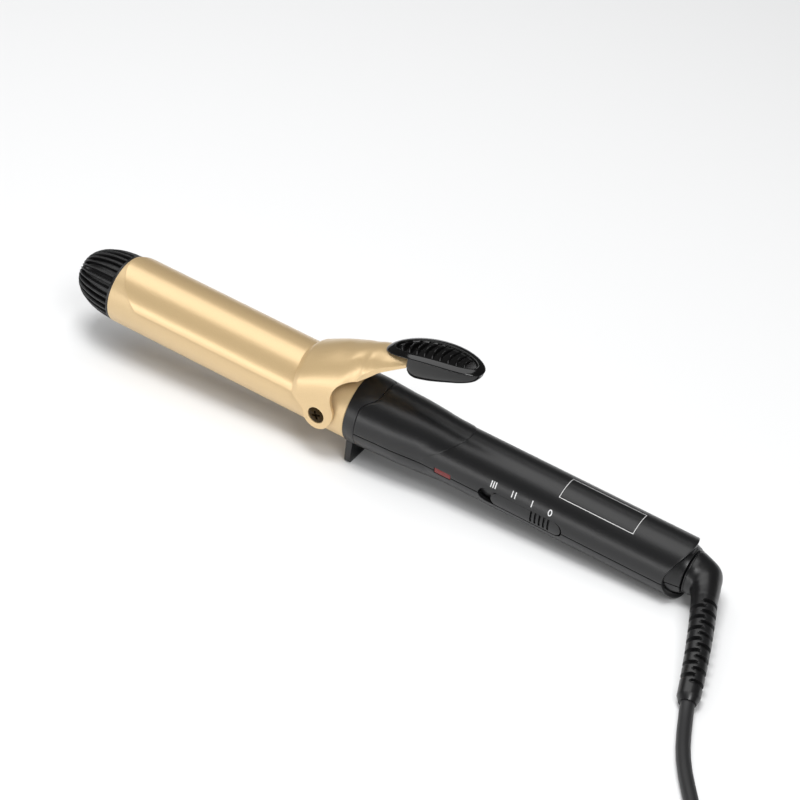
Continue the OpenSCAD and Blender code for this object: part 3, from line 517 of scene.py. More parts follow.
# The route on the table, from the strain relief to the coil, and from the coil to the plug
cordRoute = [(193.5, -59, 4.9), (194.9, -62.6, 4), (196.3, -66.2, 3.4), (197.8, -69.8, 3.2),
             (200.4, -76, 3.1), (203.6, -83, 3.1), (207, -89.2, 3.1), (210.7, -95, 3.1), (214.7, -100.6, 3.1),
             (218.9, -106.2, 3.1), (223.1, -112, 3.1), (227.3, -117.9, 3.1), (231.6, -123.8, 3.1),
             (235.8, -129.6, 3.1), (240, -135.5, 3.2), (244.2, -141.4, 3.4), (248.4, -147.2, 3.7),
             (252.2, -152.4, 4), (255.6, -157.6, 4.1)]
tailRoute = [(198.1, -206.4, 9.6), (194.6, -203.4, 9.3), (190.6, -200.8, 8.7), (186.2, -198.9, 7.9),
             (181.6, -197.9, 7.2), (177, -197.6, 6.9), (172.4, -197.6, 6.8)]
# Place of each turn in the bundle: rings outwards, layers upwards
coilCells = [(2, 0), (1, 0), (0, 0), (0, 1), (1, 1), (0, 2), (1, 2), (2, 2), (2, 1)]


def coilTurns():
    cx, cy = cord["coilCentre"]
    enter = math.atan2(cordRoute[-1][1] - cy, cordRoute[-1][0] - cx)
    leave = math.atan2(tailRoute[0][1] - cy, tailRoute[0][0] - cx)
    sweep = 2 * math.pi * (len(coilCells) - 1) + (enter - leave) % (2 * math.pi)
    steps = int(sweep / math.radians(cord["stepTurn"]))
    points = []
    for i in range(1, steps):
        turned = sweep * i / steps
        turn, part = divmod(turned / (2 * math.pi), 1)
        cell = coilCells[int(turn)]
        after = coilCells[min(int(turn) + 1, len(coilCells) - 1)]
        move = smoothStep(cord["shift"], 1, part)
        r = cord["innerRing"] + cord["ringStep"] * (cell[0] + (after[0] - cell[0]) * move)
        z = cord["coilBase"] + cord["layerStep"] * (cell[1] + (after[1] - cell[1]) * move)
        a = enter - turned
        points.append((cx + r * math.cos(a), cy + r * math.sin(a), z))
    return points


def makeCord():
    points = cordRoute + coilTurns() + tailRoute
    curve = bpy.data.curves.new("mainsCord", "CURVE")
    curve.dimensions = "3D"
    spline = curve.splines.new("POLY")
    spline.points.add(len(points) - 1)
    for point, at in zip(spline.points, points):
        point.co = (at[0] * mm, at[1] * mm, at[2] * mm, 1)
    spline.use_smooth = True
    curve.bevel_depth = cord["radius"] * mm
    curve.bevel_resolution = 6
    curve.use_fill_caps = True
    curve.materials.append(cordBlack)
    piece = bpy.data.objects.new("mainsCord", curve)
    bpy.context.collection.objects.link(piece)
    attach(piece, "swivel")
    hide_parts("mains_cord", "cord_coil", "cord_tail")
    return piece


# Plug and tie
plug = {"at": (172.4, -197.6, 6.8), "neck": 15, "face": 37.0, "pinGap": 18.6, "pinR": 2.0, "pinLength": 19.0,
        "pinRoot": 8.0, "grips": 4, "gripStart": 3.3, "gripPitch": 3.2, "gripHigh": 0.55, "gripMore": 0.1,
        "gripEdge": (0.95, 0.6)}
# Along the plug: half width, half height, squareness
plugKeys = [(0, 3.9, 3.9, 2.0), (14, 5.0, 5.0, 2.0), (15.5, 6.0, 5.6, 2.1), (18, 9.0, 6.1, 2.3),
            (22, 13.0, 6.4, 2.6), (26, 16.0, 6.55, 2.9), (29, 16.9, 6.55, 3.0), (35.4, 16.9, 6.55, 3.0),
            (36.5, 16.6, 6.3, 3.0), (37, 15.9, 5.7, 3.0)]


def plugPlace():
    return rowInMm @ Matrix.Translation(plug["at"]) @ Matrix.Diagonal((-1, 1, 1, 1))


def makePlug():
    rings = []
    for x in spread(0, plug["neck"], 61) + spread(plug["neck"] + 0.3, plug["face"], 50):
        wide, tall, square = between(plugKeys, x)
        grip = max((plug["gripHigh"] + plug["gripMore"] * i)
                   * smoothStep(*plug["gripEdge"], abs(x - plug["gripStart"] - plug["gripPitch"] * i))
                   for i in range(plug["grips"]))
        ring = []
        for a in around(64):
            ring.append((x, (wide + grip) * spower(math.cos(a), 2 / square),
                         (tall + grip) * spower(math.sin(a), 2 / square)))
        rings.append(ring)
    piece = addPiece("plugBody", gridMesh("plugBody", rings, loop=True, ends=True), plugBlack)
    settle(piece, "swivel", ["plug_body"], place=plugPlace())
    r, face = plug["pinR"], plug["face"]
    root, tail = face - plug["pinRoot"], face + plug["pinLength"]
    outline = [(root, 0.0), (root, r - 0.2), (face + 0.05, r - 0.2), (face + 0.05, r), (tail - 0.8, r),
               (tail - 0.25, r - 0.3), (tail, r - 0.8), (tail, 0.0)]
    pins = []
    for side in (-1, 1):
        pin = addPiece("plugPin", turnedMesh("plugPin", outline, 48), nickel)
        pin.data.transform(Matrix.Translation((0, side * plug["pinGap"] / 2, 0)))
        pins.append(pin)
    joinPieces(pins[0], pins[1])
    pins[0].name = "plugPins"
    settle(pins[0], "swivel", ["plug_pins"], place=plugPlace())
    return piece, pins[0]


# A strap round the bundle of turns
tie = {"from": 300.0, "to": 320.0, "half": 9.12, "corner": 3.2, "thickness": 0.75}


def makeTie():
    cx, cy = cord["coilCentre"]
    mid = cord["innerRing"] + cord["ringStep"]
    level = cord["coilBase"] + cord["layerStep"]
    path = []
    for quarter in range(4):
        for a in spread(90 * quarter, 90 * quarter + 90, 9):
            a = math.radians(a)
            ox = (tie["half"] - tie["corner"]) * (1 if quarter in (0, 3) else -1)
            oz = (tie["half"] - tie["corner"]) * (1 if quarter in (0, 1) else -1)
            path.append((mid + ox + tie["corner"] * math.cos(a), level + oz + tie["corner"] * math.sin(a),
                         math.cos(a), math.sin(a)))
    path.append(path[0])
    # Once round the strap's section: shares of its width and of its thickness
    across = [(0, 0), (0, 0.8), (0.03, 1.0)] + [(s, 1.0) for s in spread(0.1, 0.9, 9)]
    across += [(0.97, 1.0), (1, 0.8), (1, 0)] + [(s, 0) for s in spread(0.9, 0.1, 9)]
    rows = []
    for rho, z, nr, nz in path:
        row = []
        for share, rise in across:
            a = math.radians(tie["from"] + (tie["to"] - tie["from"]) * share)
            r = rho + nr * tie["thickness"] * rise
            row.append((cx + r * math.cos(a), cy + r * math.sin(a), z + nz * tie["thickness"] * rise))
        rows.append(row)
    piece = addPiece("cordTie", gridMesh("cordTie", rows, loop=True), tieBlack)
    return settle(piece, "swivel", ["cord_tie"], place=rowInMm)


mainsCord = makeCord()
plugBody, plugPins = makePlug()
cordTie = makeTie()
print("cord laid")

# Cool tip
tip = {"length": 24.4, "radius": 15.88, "round": 0.76, "ribs": 28, "ribWidth": 1.2, "ribHeight": 2.2,
       "ribReach": (0.03, 0.95), "ribFade": (0.72, 0.92), "ribThin": 0.22, "ribRound": 0.45,
       "rimWidth": 1.0, "spigotR": 14.75, "spigotBore": 13.2, "spigotEnd": 8}


# Point of the dome's profile, from the rim to the pole, sunk below the tops of the ribs
def domePoint(share, sink):
    a = math.radians(90) * share
    return (-(tip["length"] - sink) * math.sin(a), (tip["radius"] - sink) * math.cos(a) ** tip["round"])


def makeTip():
    core = [domePoint(t, tip["ribHeight"] * (1 - smoothStep(*tip["ribFade"], t))) for t in spread(0, 1, 60)]
    core[-1] = (core[-1][0], 0.0)
    outline = [(0.0, 0.0), (0.0, iron["barrelR"] - 0.25), (-0.2, iron["barrelR"] - 0.1),
               (-tip["rimWidth"], iron["barrelR"] - 0.1), (-tip["rimWidth"] - 0.15, iron["barrelR"] - 0.25),
               (-tip["rimWidth"] - 0.2, core[2][1])] + core[3:]
    piece = addPiece("tipCap", turnedMesh("tipCap", outline, 112), tipBlack)
    # One rib, rounded across and thinner towards the pole
    rings = []
    for t in spread(*tip["ribReach"], 44):
        x, r = domePoint(t, 0)
        ahead, behind = domePoint(min(t + 0.01, 1), 0), domePoint(max(t - 0.01, 0), 0)
        normal = Vector((-(ahead[1] - behind[1]), 0, ahead[0] - behind[0])).normalized()
        normal = normal if normal.z > 0 or normal.x < 0 else -normal
        half = 0.5 * tip["ribWidth"] * min(1, tip["ribThin"] + (1 - tip["ribThin"]) * r / tip["radius"])
        ring = []
        for a in spread(0, math.pi, 9):
            y = half * spower(math.cos(a), 0.7)
            h = 0.4
            if 0 < a < math.pi:
                h = tip["ribHeight"] * (1 - tip["ribRound"] * (1 - spower(math.sin(a), 0.7)))
            at = Vector((x, 0, r)) + normal * (h - tip["ribHeight"])
            ring.append((at.x, y, at.z))
        low = Vector((x, 0, r)) - normal * (tip["ribHeight"] + 0.6)
        ring += [(low.x, -half * 0.9, low.z), (low.x, half * 0.9, low.z)]
        rings.append(ring)
    rib = addPiece("tipRib", gridMesh("tipRib", rings, loop=True, ends=True), tipBlack)
    applyTree(rib, roundTree, tipBlack, Count=tip["ribs"])
    joinPieces(piece, rib)
    # Spigot inside the barrel
    outer, inner, end = tip["spigotR"], tip["spigotBore"], tip["spigotEnd"]
    spigot = turnedMesh("tipSpigot", [(-0.4, outer), (end, outer), (end, inner), (-0.4, inner)], 64)
    joinPieces(piece, addPiece("tipSpigot", spigot, tipBlack))
    return settle(piece, "iron", ["tip_cap"], angle=50)


makeTip()
print("tip made")


# Barrel
def makeBarrel():
    r, bore, end = iron["barrelR"], iron["boreR"], iron["collarX"] - 0.05
    outline = [(0.05, bore), (0.05, r - 0.3), (0.12, r - 0.1), (0.35, r), (end - 0.3, r), (end, r - 0.3),
               (end, bore)]
    piece = addPiece("barrelTube", turnedMesh("barrelTube", outline, 160), shadedBarrelLacquer)
    return settle(piece, "iron", ["barrel_tube"])


makeBarrel()
print("barrel made")

# Clamp plate
clamp = {"outerR": 17.25, "sheet": 1.0, "halfAngle": 75, "front": 1.6, "noseLength": 17, "end": 111.0,
         "crowd": 1.4}


# The plate's rounded front edge
def plateFront(y):
    across = min(abs(y) / (clamp["outerR"] * math.sin(math.radians(clamp["halfAngle"])) + 0.2), 1)
    return clamp["front"] + clamp["noseLength"] * (1 - math.sqrt(1 - across * across))


def makePlate():
    rows = []
    for share in spread(0, 1, 60):
        row = []
        for a in spread(-clamp["halfAngle"], clamp["halfAngle"], 81):
            y = clamp["outerR"] * math.sin(math.radians(a))
            z = clamp["outerR"] * math.cos(math.radians(a))
            front = plateFront(y)
            row.append((front + (clamp["end"] - front) * share ** clamp["crowd"], y, z))
        rows.append(row)
    piece = addPiece("clampPlate", gridMesh("clampPlate", rows), champagne)
    faceUp(piece.data)
    addModifier(piece, "SOLIDIFY", thickness=clamp["sheet"], offset=-1, use_even_offset=True)
    bevelEdges(piece, 0.1, 2)
    return settle(piece, "clamp", ["clamp_plate"])


# Turns an open sheet's faces away from the iron's axis
def faceUp(mesh):
    total = sum((Vector((0, f.center.y, f.center.z)).dot(f.normal)) * f.area for f in mesh.polygons)
    if total < 0:
        mesh.flip_normals()


makePlate()
print("clamp plate made")

# Clamp lever: x, half width, base of the arch, top, squareness
leverKeys = [(98.1, 17.2, 2.0, 18.2, 2.0), (101, 17.9, 3.5, 20.5, 2.0), (104.5, 18.2, 4.0, 22.6, 2.0),
             (109.5, 18.35, 4.0, 25.4, 2.1), (114.5, 18.4, 4.0, 28.0, 2.15), (118.5, 18.4, 4.0, 29.8, 2.2),
             (121.7, 18.3, 4.0, 31.4, 2.2), (124.2, 17.0, 6.0, 32.7, 2.25), (127.8, 14.1, 14.0, 34.4, 2.35),
             (131.5, 12.0, 24.1, 36.1, 2.25), (133.9, 11.2, 26.3, 37.1, 2.2), (139.1, 10.0, 31.4, 39.0, 2.1),
             (144.5, 8.8, 35.0, 40.9, 2.05), (150.2, 7.6, 38.6, 42.7, 2.0)]
# Rear edge of the ear and lower edge of the neck: x, z, and x at the top of the same row
leverEdge = [(121.84, -2.96, 116.6), (122.75, -0.9, 117.2), (123.2, 1.4, 117.8), (123.25, 3.6, 118.3),
             (122.8, 5.8, 118.8), (122.1, 7.9, 119.3), (121.5, 9.8, 119.8), (121.15, 11.7, 120.3),
             (121.1, 13.6, 120.8), (121.4, 15.5, 121.4), (122.1, 17.2, 122.1), (123.0, 18.6, 123.0),
             (124.2, 19.9, 124.2), (125.8, 21.0, 125.8), (127.8, 22.0, 127.8), (129.6, 22.95, 129.6),
             (131.5, 24.1, 131.5), (133.9, 26.3, 133.9), (136.5, 28.9, 136.5), (139.1, 31.4, 139.1),
             (144.5, 35.0, 144.5), (150.2, 38.6, 150.2)]
lever = {"sheet": 1.2, "earR": 7.0, "screwR": 4.1, "neck": (123.5, 134), "end": 150, "facet": 3.0,
         "facetTurn": 34, "sideShare": 0.4, "bend": 6, "chamfer": 2.8, "chamferDrop": 0.75, "chamferEnd": 112}
# Bar that carries the thumb rest: where it starts, its rise in degrees, its middle from there, its size
tongue = {"root": (150.5, 0, 37.746), "rise": 16, "middle": (2, 0, 1.3), "size": (20, 8, 2.6)}
# x of the hub's front edge and of the row's top, by the angle above the side
ridgeKeys = [(0, 108.5, 104.2), (5, 106.6, 102.8), (12, 103.4, 101.6), (19, 101.7, 100.9), (33, 100.8, 100.2),
             (48, 100.2, 99.6), (70, 98.7, 98.7), (90, 98.1, 98.16)]


# The near half of the section at x, from its lower edge to the top
def leverOutline(x):
    width, base, top, square = between(leverKeys, x)
    neck = smoothStep(*lever["neck"], x)
    start = math.radians(lever["facetTurn"] * neck)
    level = base + lever["facet"] * neck * (1 - 0.5 * smoothStep(lever["neck"][1], lever["end"], x))
    power = 2 / square
    low = spower(math.sin(start), power)
    outline = []
    for t in spread(0, 1, 121):
        a = start + (math.pi / 2 - start) * t
        y = width * spower(math.cos(a), power) / spower(math.cos(start), power)
        lift = (spower(math.sin(a), power) - low) / (1 - low)
        outline.append((y, level + (top - level) * lift))
    return [(width, z) for z in spread(-lever["earR"] - 0.3, level, 30)[:-1]] + outline, level


# Pulls the hub's front in, so that a chamfer runs behind its edge
def chamfered(x, y, z):
    if x > lever["chamferEnd"]:
        return (x, y, z)
    angle = math.degrees(math.atan2(z, abs(y)))
    behind = x - between(ridgeKeys, min(max(angle, 0), 90))[0]
    drop = lever["chamferDrop"] * max(1 - behind / lever["chamfer"], 0) * smoothStep(8, 30, angle)
    r = math.hypot(y, z)
    return (x, y * (1 - drop / r), z * (1 - drop / r))


# The point at a share of the line's length
def alongLine(points, share):
    lengths = [math.dist(p, q) for p, q in zip(points, points[1:])]
    want = share * sum(lengths)
    for p, q, length in zip(points, points[1:], lengths):
        if want <= length:
            t = want / max(length, 1e-9)
            return tuple(a + (b - a) * t for a, b in zip(p, q))
        want -= length
    return points[-1]


# Where the line of (y, z) points, which only rises, passes the level
def crossing(points, level):
    for p, q in zip(points, points[1:]):
        if p[1] <= level <= q[1]:
            t = (level - p[1]) / max(q[1] - p[1], 1e-9)
            return (p[0] + (q[0] - p[0]) * t, level)
    return points[0] if level < points[0][1] else points[-1]


# Level at which a row leaves the upright side for the arch
def sideTop(outline, level, low):
    return min(max(level, low + 0.4), (low + outline[-1][1]) / 2)


# A row runs from the edge at (lowX, lowZ) up the upright side and over the arch to the top at highX, then
# down the far side and back inside the sheet. A higher bend keeps it longer over its first x.
def leverRow(lowX, lowZ, highX, bend):
    outline, level = leverOutline(lowX)
    whole = sum(math.dist(p, q) for p, q in zip(outline, outline[1:]) if p[1] >= lowZ) + 1e-6
    cut = sideTop(outline, level, lowZ)
    side = (cut - lowZ) / whole
    half, wall = [], []
    for s in spread(0, 1, 46):
        up = s / lever["sideShare"]
        over = (s - lever["sideShare"]) / (1 - lever["sideShare"])
        height = side * up if up <= 1 else side + (1 - side) * over
        x = lowX + (highX - lowX) * (1 - (1 - height) ** bend)
        outline, level = leverOutline(x)
        cut = sideTop(outline, level, lowZ)
        if up <= 1:
            y, z = crossing(outline, lowZ + (cut - lowZ) * up)
        else:
            y, z = alongLine([crossing(outline, cut)] + [p for p in outline if p[1] > cut], over)
        half.append(chamfered(x, -y, z))
        x, y, z = half[-1]
        turn = max(over, 0) * math.pi / 2
        wall.append((x, min(y + lever["sheet"] * math.cos(turn), y * 0.3),
                     z - lever["sheet"] * math.sin(turn)))
    half[-1] = (highX, 0.0, half[-1][2])
    wall[-1] = (highX, 0.0, half[-1][2] - lever["sheet"])
    outer = half + [(x, -y, z) for x, y, z in reversed(half[:-1])]
    inner = wall + [(x, -y, z) for x, y, z in reversed(wall[:-1])]
    return outer + inner[::-1]


# Height at which the section's outline passes the angle
def heightAt(outline, angle):
    for p, q in zip(outline, outline[1:]):
        low, high = (math.degrees(math.atan2(z, y)) for y, z in (p, q))
        if low <= angle <= high:
            return p[1] + (q[1] - p[1]) * (angle - low) / max(high - low, 1e-9)
    return outline[-1][1]


# Rows over the hub's front, round the ear and along the neck
def leverRows():
    rows = []
    for a in spread(86, 2, 40):
        x, top = between(ridgeKeys, a)
        rows.append(leverRow(x, heightAt(leverOutline(x)[0], a), max(top, ridgeKeys[-1][2]), 1))
    for a in spread(180, 333, 46):
        turn = math.radians(a)
        rows.append(leverRow(iron["pivotX"] + lever["earR"] * math.cos(turn), lever["earR"] * math.sin(turn),
                             ridgeKeys[0][2] + (a - 180) * 0.08,
                             1 + (lever["bend"] - 1) * smoothStep(270, 333, a)))
    keys = [(i, *key) for i, key in enumerate(leverEdge)]
    for i in spread(0, len(keys) - 1, 127):
        rows.append(leverRow(*between(keys, i), lever["bend"]))
    return rows


def makeLever():
    piece = addPiece("clampLever", gridMesh("clampLever", leverRows(), loop=True, ends=True), champagne)
    hole = barMesh("screwHole", iron["pivotX"], lever["screwR"], -30, 30)
    cutWith(piece, addPiece("screwHole", hole, champagne))
    bevelEdges(piece, 0.2, 3)
    keepShape(piece)
    place = (Matrix.Translation(tongue["root"]) @ Matrix.Rotation(math.radians(-tongue["rise"]), 4, "Y")
             @ Matrix.Translation(tongue["middle"]) @ Matrix.Diagonal((*tongue["size"], 1)))
    joinPieces(piece, addPiece("leverTongue", boxMesh("leverTongue", place), champagne))
    return settle(piece, "clamp", ["clamp_lever"], angle=22)


makeLever()
print("clamp lever made")


# Pivot screws
screw = {"headR": 3.95, "headBase": 17.35, "headTop": 18.2, "shoulderR": 2.2, "shoulder": 16.1,
         "threadR": 1.5, "threadEnd": 12.1, "slotLength": 5.2, "slotWidth": 1.3, "slotDepth": 0.9,
         "slotTaper": 0.7, "crown": 0.15, "turn": 20}


def makeScrew(name, side):
    s = screw
    end, headR, headTop = s["threadEnd"], s["headR"], s["headTop"]
    profile = [(end, 0.0), (end, s["threadR"] - 0.3), (end + 0.3, s["threadR"]),
               (s["shoulder"], s["threadR"]), (s["shoulder"], s["shoulderR"]),
               (s["headBase"], s["shoulderR"]), (s["headBase"], headR), (headTop - 0.35, headR),
               (headTop - 0.12, headR - 0.12), (headTop, headR - 0.4), (headTop + s["crown"], 0.0)]
    piece = addPiece(name, turnedMesh(name, profile, 64), bronze)
    for turn in (0, 90):
        slot = boxMesh("screwSlot", Matrix())
        for v in slot.vertices:
            taper = 1 if v.co.x > 0 else s["slotTaper"]
            v.co = (v.co.x * s["slotDepth"] * 2 + headTop + s["crown"], v.co.y * s["slotLength"] * taper,
                    v.co.z * s["slotWidth"] * taper)
        slot.transform(Matrix.Rotation(math.radians(turn + s["turn"]), 4, "X"))
        cutWith(piece, addPiece("screwSlot", slot, bronze))
    bevelEdges(piece, 0.05, 2, angle=60)
    keepShape(piece)
    piece.data.transform(Matrix.Translation((iron["pivotX"], 0, 0))
                         @ Matrix.Rotation(math.radians(90 * side), 4, "Z"))
    return piece


screwNear, screwFar = makeScrew("pivotScrewNear", -1), makeScrew("pivotScrewFar", 1)
joinPieces(screwNear, screwFar)
screwNear.name = "pivotScrews"
settle(screwNear, "iron", ["pivot_screws"])
print("screws made")

# Clamp spring
spring = {"x": 123.1, "base": 16.2, "top": 27.2, "radius": 3.55, "wire": 0.45, "turns": 6.0, "keep": 0.75}


def makeSpring():
    piece = addPiece("clampSpring", bpy.data.meshes.new("clampSpring"), None)
    height = spring["top"] - spring["base"] - 2 * spring["wire"]
    applyTree(piece, wireTree, steel, Turns=spring["turns"], Radius=spring["radius"], Height=height,
              Wire=spring["wire"])
    low = min(v.co.z for v in piece.data.vertices)
    piece.data.transform(Matrix.Translation((spring["x"], 0, spring["base"] - low)))
    settle(piece, "iron", ["clamp_spring"])
    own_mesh(piece)


makeSpring()
print("spring made")

# Thumb rest
rest = {"x": 136.6, "length": 46.4, "width": 18.7, "z": 40.0, "slope": math.tan(math.radians(11.6)),
        "arch": 3.6, "square": 2.2, "ribs": 10, "ribPitch": 3.75, "ribStart": 141.6, "ribBow": 2.2,
        "ribR": 0.65, "ribHalf": 6.5, "ribTall": 1.75, "ribFall": 0.42}
# Rings from the rim's underside over the edge into the sunken middle: inset, lift
restRings = [(1.6, -1.75), (0.7, -1.7), (0.2, -1.5), (0, -1.2), (0.05, -1.0), (0.3, -0.75), (1.0, -0.42),
             (2.0, -0.05), (2.6, 0.12), (3.0, 0.16), (3.25, 0.05), (3.4, -0.35), (3.55, -0.95), (3.8, -1.3),
             (4.3, -1.45), (6.0, -1.5), (7.6, -1.5), (9.2, -1.5)]


# Level of the rim, which arches over its slope
def rimLevel(x):
    u = (x - rest["x"]) / rest["length"]
    return rest["z"] + rest["slope"] * rest["length"] * u + rest["arch"] * (1 - (2 * u - 1) ** 2)


def restRing(inset, lift, count=96):
    half, wide = rest["length"] / 2, rest["width"] / 2
    power = 2 / rest["square"]
    ring = []
    for a in around(count):
        x = rest["x"] + half + (half - inset * 1.15) * spower(math.cos(a), power)
        y = max(wide - inset, 0.06) * spower(math.sin(a), power)
        ring.append((x, y, rimLevel(x) + lift))
    return ring


# Depth of the body under the rim, from the neck to the tail
bellyKeys = [(0, 0.80), (0.03, 0.92), (0.1, 1), (0.2, 1), (0.32, 0.96), (0.46, 0.87), (0.6, 0.76),
             (0.74, 0.64), (0.86, 0.5), (0.94, 0.36), (0.985, 0.2)]
belly = {"start": 0.3, "end": 0.985, "depth": 13.2, "inset": 1.0}


# Half width of the rest at a share of its length
def restHalf(u):
    return rest["width"] / 2 * max(1 - abs(2 * u - 1) ** rest["square"], 0) ** (1 / rest["square"])


# Place of the thumb rest's screw, whose axis stands along X of its own mesh
restScrew = {"at": (156.5, 0, 40.546), "boreR": 2.3, "boreFrom": -20, "boreTo": -6.2}
restScrewPlace = (Matrix.Translation(restScrew["at"]) @ Matrix.Rotation(math.radians(-tongue["rise"]), 4, "Y")
                  @ Matrix.Rotation(math.radians(-90), 4, "Y"))


def makeThumbRest():
    rings = [restRing(inset, lift) for inset, lift in restRings]
    rim = gridMesh("thumbRest", [restRing(9.2, -2.6), restRing(2.4, -1.95)] + rings, loop=True, ends=True)
    piece = addPiece("thumbRest", rim, glossBlack)
    sections = []
    for t in spread(0, belly["end"], 48):
        u = belly["start"] + (belly["end"] - belly["start"]) * t / belly["end"]
        x = rest["x"] + rest["length"] * u
        wide, top = max(restHalf(u) - belly["inset"], 0.4), rimLevel(x) - 0.9
        depth = belly["depth"] * between(bellyKeys, t)[0]
        sections.append([(x, wide * spower(math.cos(a), 0.6), top + depth * spower(math.sin(a), 0.5))
                         for a in (math.radians(a) for a in spread(180, 360, 41))])
    body = addPiece("thumbRestBody", gridMesh("thumbRestBody", sections, loop=True, ends=True), glossBlack)
    r, low, high = (restScrew[k] for k in ("boreR", "boreFrom", "boreTo"))
    bore = turnedMesh("restScrewBore", [(low, 0.0), (low, r), (high, r), (high, 0.0)], 40)
    bore.transform(restScrewPlace)
    cutWith(body, addPiece("restScrewBore", bore, glossBlack))
    joinPieces(piece, body, makeRestRibs())
    return settle(piece, "clamp", ["thumb_rest"], angle=50)


# One curved rib across, copied along the rest
def makeRestRibs():
    sections = []
    for y in spread(-1, 1, 33):
        x = rest["ribBow"] * (y * y - 0.5)
        fade = math.sqrt(max(1 - y ** 8, 0.02))
        section = []
        for a in spread(0, 180, 9):
            a = math.radians(a)
            rise = rest["ribTall"] * spower(math.sin(a), 0.7) * fade * (1 - rest["ribFall"] * y * y)
            section.append((x + rest["ribR"] * math.cos(a), y * rest["ribHalf"], rise))
        section += [(x + side * (rest["ribR"] + 0.05), y * rest["ribHalf"], -0.5) for side in (-1, 1)]
        sections.append(section)
    rib = addPiece("restRib", gridMesh("restRib", sections, loop=True, ends=True), glossBlack)
    middle = rest["x"] + rest["length"] / 2
    applyTree(rib, rowTree, glossBlack, Count=rest["ribs"], Start=rest["ribStart"], Pitch=rest["ribPitch"],
              Middle=middle, Half_Length=rest["length"] / 2 - 1.5, Rise=rest["slope"], Arch=rest["arch"])
    rib.data.transform(Matrix.Translation((0, 0, rimLevel(middle) - 1.55)))
    return rib


makeThumbRest()
print("thumb rest made")

# Handle
flare = {"rise": 2.65, "dip": 0.75, "dipEnd": 0.34, "brow": 0.36, "fallEnd": 1.15, "hollow": 0.18,
         "ledge": 0.3, "ledgeStart": 0.8, "creaseX": 166.4, "creaseDepth": 16.4, "turn": 2, "power": 0.6,
         "tongue": 5.7, "tongueTurn": (36, 68), "common": 188.0, "rearMid": 272.7, "rearR": 18.6,
         "wall": 2.0, "seamGap": 0.27, "seamR": 14}


# Front edge of the shells at angle a above the far side: a tongue reaches back over the top
def partingX(a):
    up = math.degrees(math.asin(max(min(math.sin(a), 1), -1)))
    return iron["handleX"] + flare["tongue"] * smoothStep(*flare["tongueTurn"], up)


# Where the flare ends in a crease
def creaseX(a):
    up = math.degrees(math.asin(max(min(math.sin(a), 1), -1))) + flare["turn"]
    return flare["creaseX"] + flare["creaseDepth"] * (math.sin(math.radians(up)) ** 2) ** flare["power"]


# Height of the flare over the handle, s running from its front to the crease
def flareHeight(s, ledge):
    if s > 0.99995:
        return 0.0
    value = flare["rise"] - flare["dip"] * min(s / flare["dipEnd"], 1)
    if s > flare["brow"]:
        value *= 1 - smoothStep(flare["brow"], flare["fallEnd"], s)
        value -= flare["hollow"] * (s - flare["brow"]) / (1 - flare["brow"])
    return value + ledge * smoothStep(flare["ledgeStart"], 1, s)


def flareRadius(x, a):
    start = iron["handleX"]
    ledge = flare["ledge"] * smoothStep(0.0, 0.35, math.sin(a))
    return iron["handleR"] + flareHeight(max(x - start, 0) / (creaseX(a) - start), ledge)


# The share runs 0 to 1 over the flare, 1 to 2 to a common station and 2 to 3 on to the rounded rear
def handlePoint(share, a):
    common = flare["common"]
    y = iron["handleR"] * math.cos(a)
    rear = flare["rearMid"] + math.sqrt(max(flare["rearR"] ** 2 - y * y, 0))
    low, high = partingX(a), creaseX(a)
    if share <= 1:
        x = low + (high - low) * share
    elif share <= 2:
        x = high + (common - high) * (share - 1)
    else:
        x = common + (rear - common) * (share - 2)
    return x, iron["handleR"] if share >= 1 else flareRadius(x, a)


# Angle at a share of the way round a shell of radius r, whose ends keep to the seam's level
def seamTurn(r, upper, t):
    low = math.asin((iron["seamZ"] + (flare["seamGap"] if upper else -flare["seamGap"])) / r)
    return low + (math.pi - 2 * low) * t if upper else low - (math.pi + 2 * low) * t


# Screw bosses of the two shells, along Z
boss = {"at": (160.0, 262.3), "outerR": 3.4, "boreR": 1.5, "recessR": 2.7, "recess": -9.4, "end": 12.2,
        "gap": 0.03}


def makeShell(name, node, upper):
    shares = (spread(0, 0.9, 28) + spread(0.92, 0.99, 6) + [0.9992, 1.0] + spread(1.03, 1.2, 4)
              + spread(1.3, 2, 6) + spread(2.04, 2.94, 22) + spread(2.96, 3, 5))
    rows = []
    for share in shares:
        row = []
        seamR = handlePoint(share, math.asin(iron["seamZ"] / flare["seamR"]))[1]
        for t in spread(0, 1, 73):
            a = seamTurn(seamR, upper, t)
            x, r = handlePoint(share, a)
            row.append((x, -r * math.cos(a), r * math.sin(a)))
        rows.append(row)
    piece = addPiece(name, gridMesh(name, rows), satinBlack)
    faceUp(piece.data)
    addModifier(piece, "SOLIDIFY", thickness=flare["wall"], offset=-1, use_even_offset=True)
    keepShape(piece)
    for tool in (slotTool(), windowTool()):
        cutWith(piece, tool)
    if not upper:
        for x in boss["at"]:
            mesh = barMesh("recess", x, boss["recessR"], -30, boss["recess"])
            mesh.transform(Matrix.Rotation(math.radians(90), 4, "X"))
            cutWith(piece, addPiece("recess", mesh, satinBlack))
    bevelEdges(piece, 0.12, 2, angle=60)
    keepShape(piece)
    joinPieces(piece, makeRearFace(name + "Rear", upper))
    joinPieces(piece, *[makeBoss(name + "Boss", x, upper) for x in boss["at"]])
    return settle(piece, "iron", [node], angle=35)


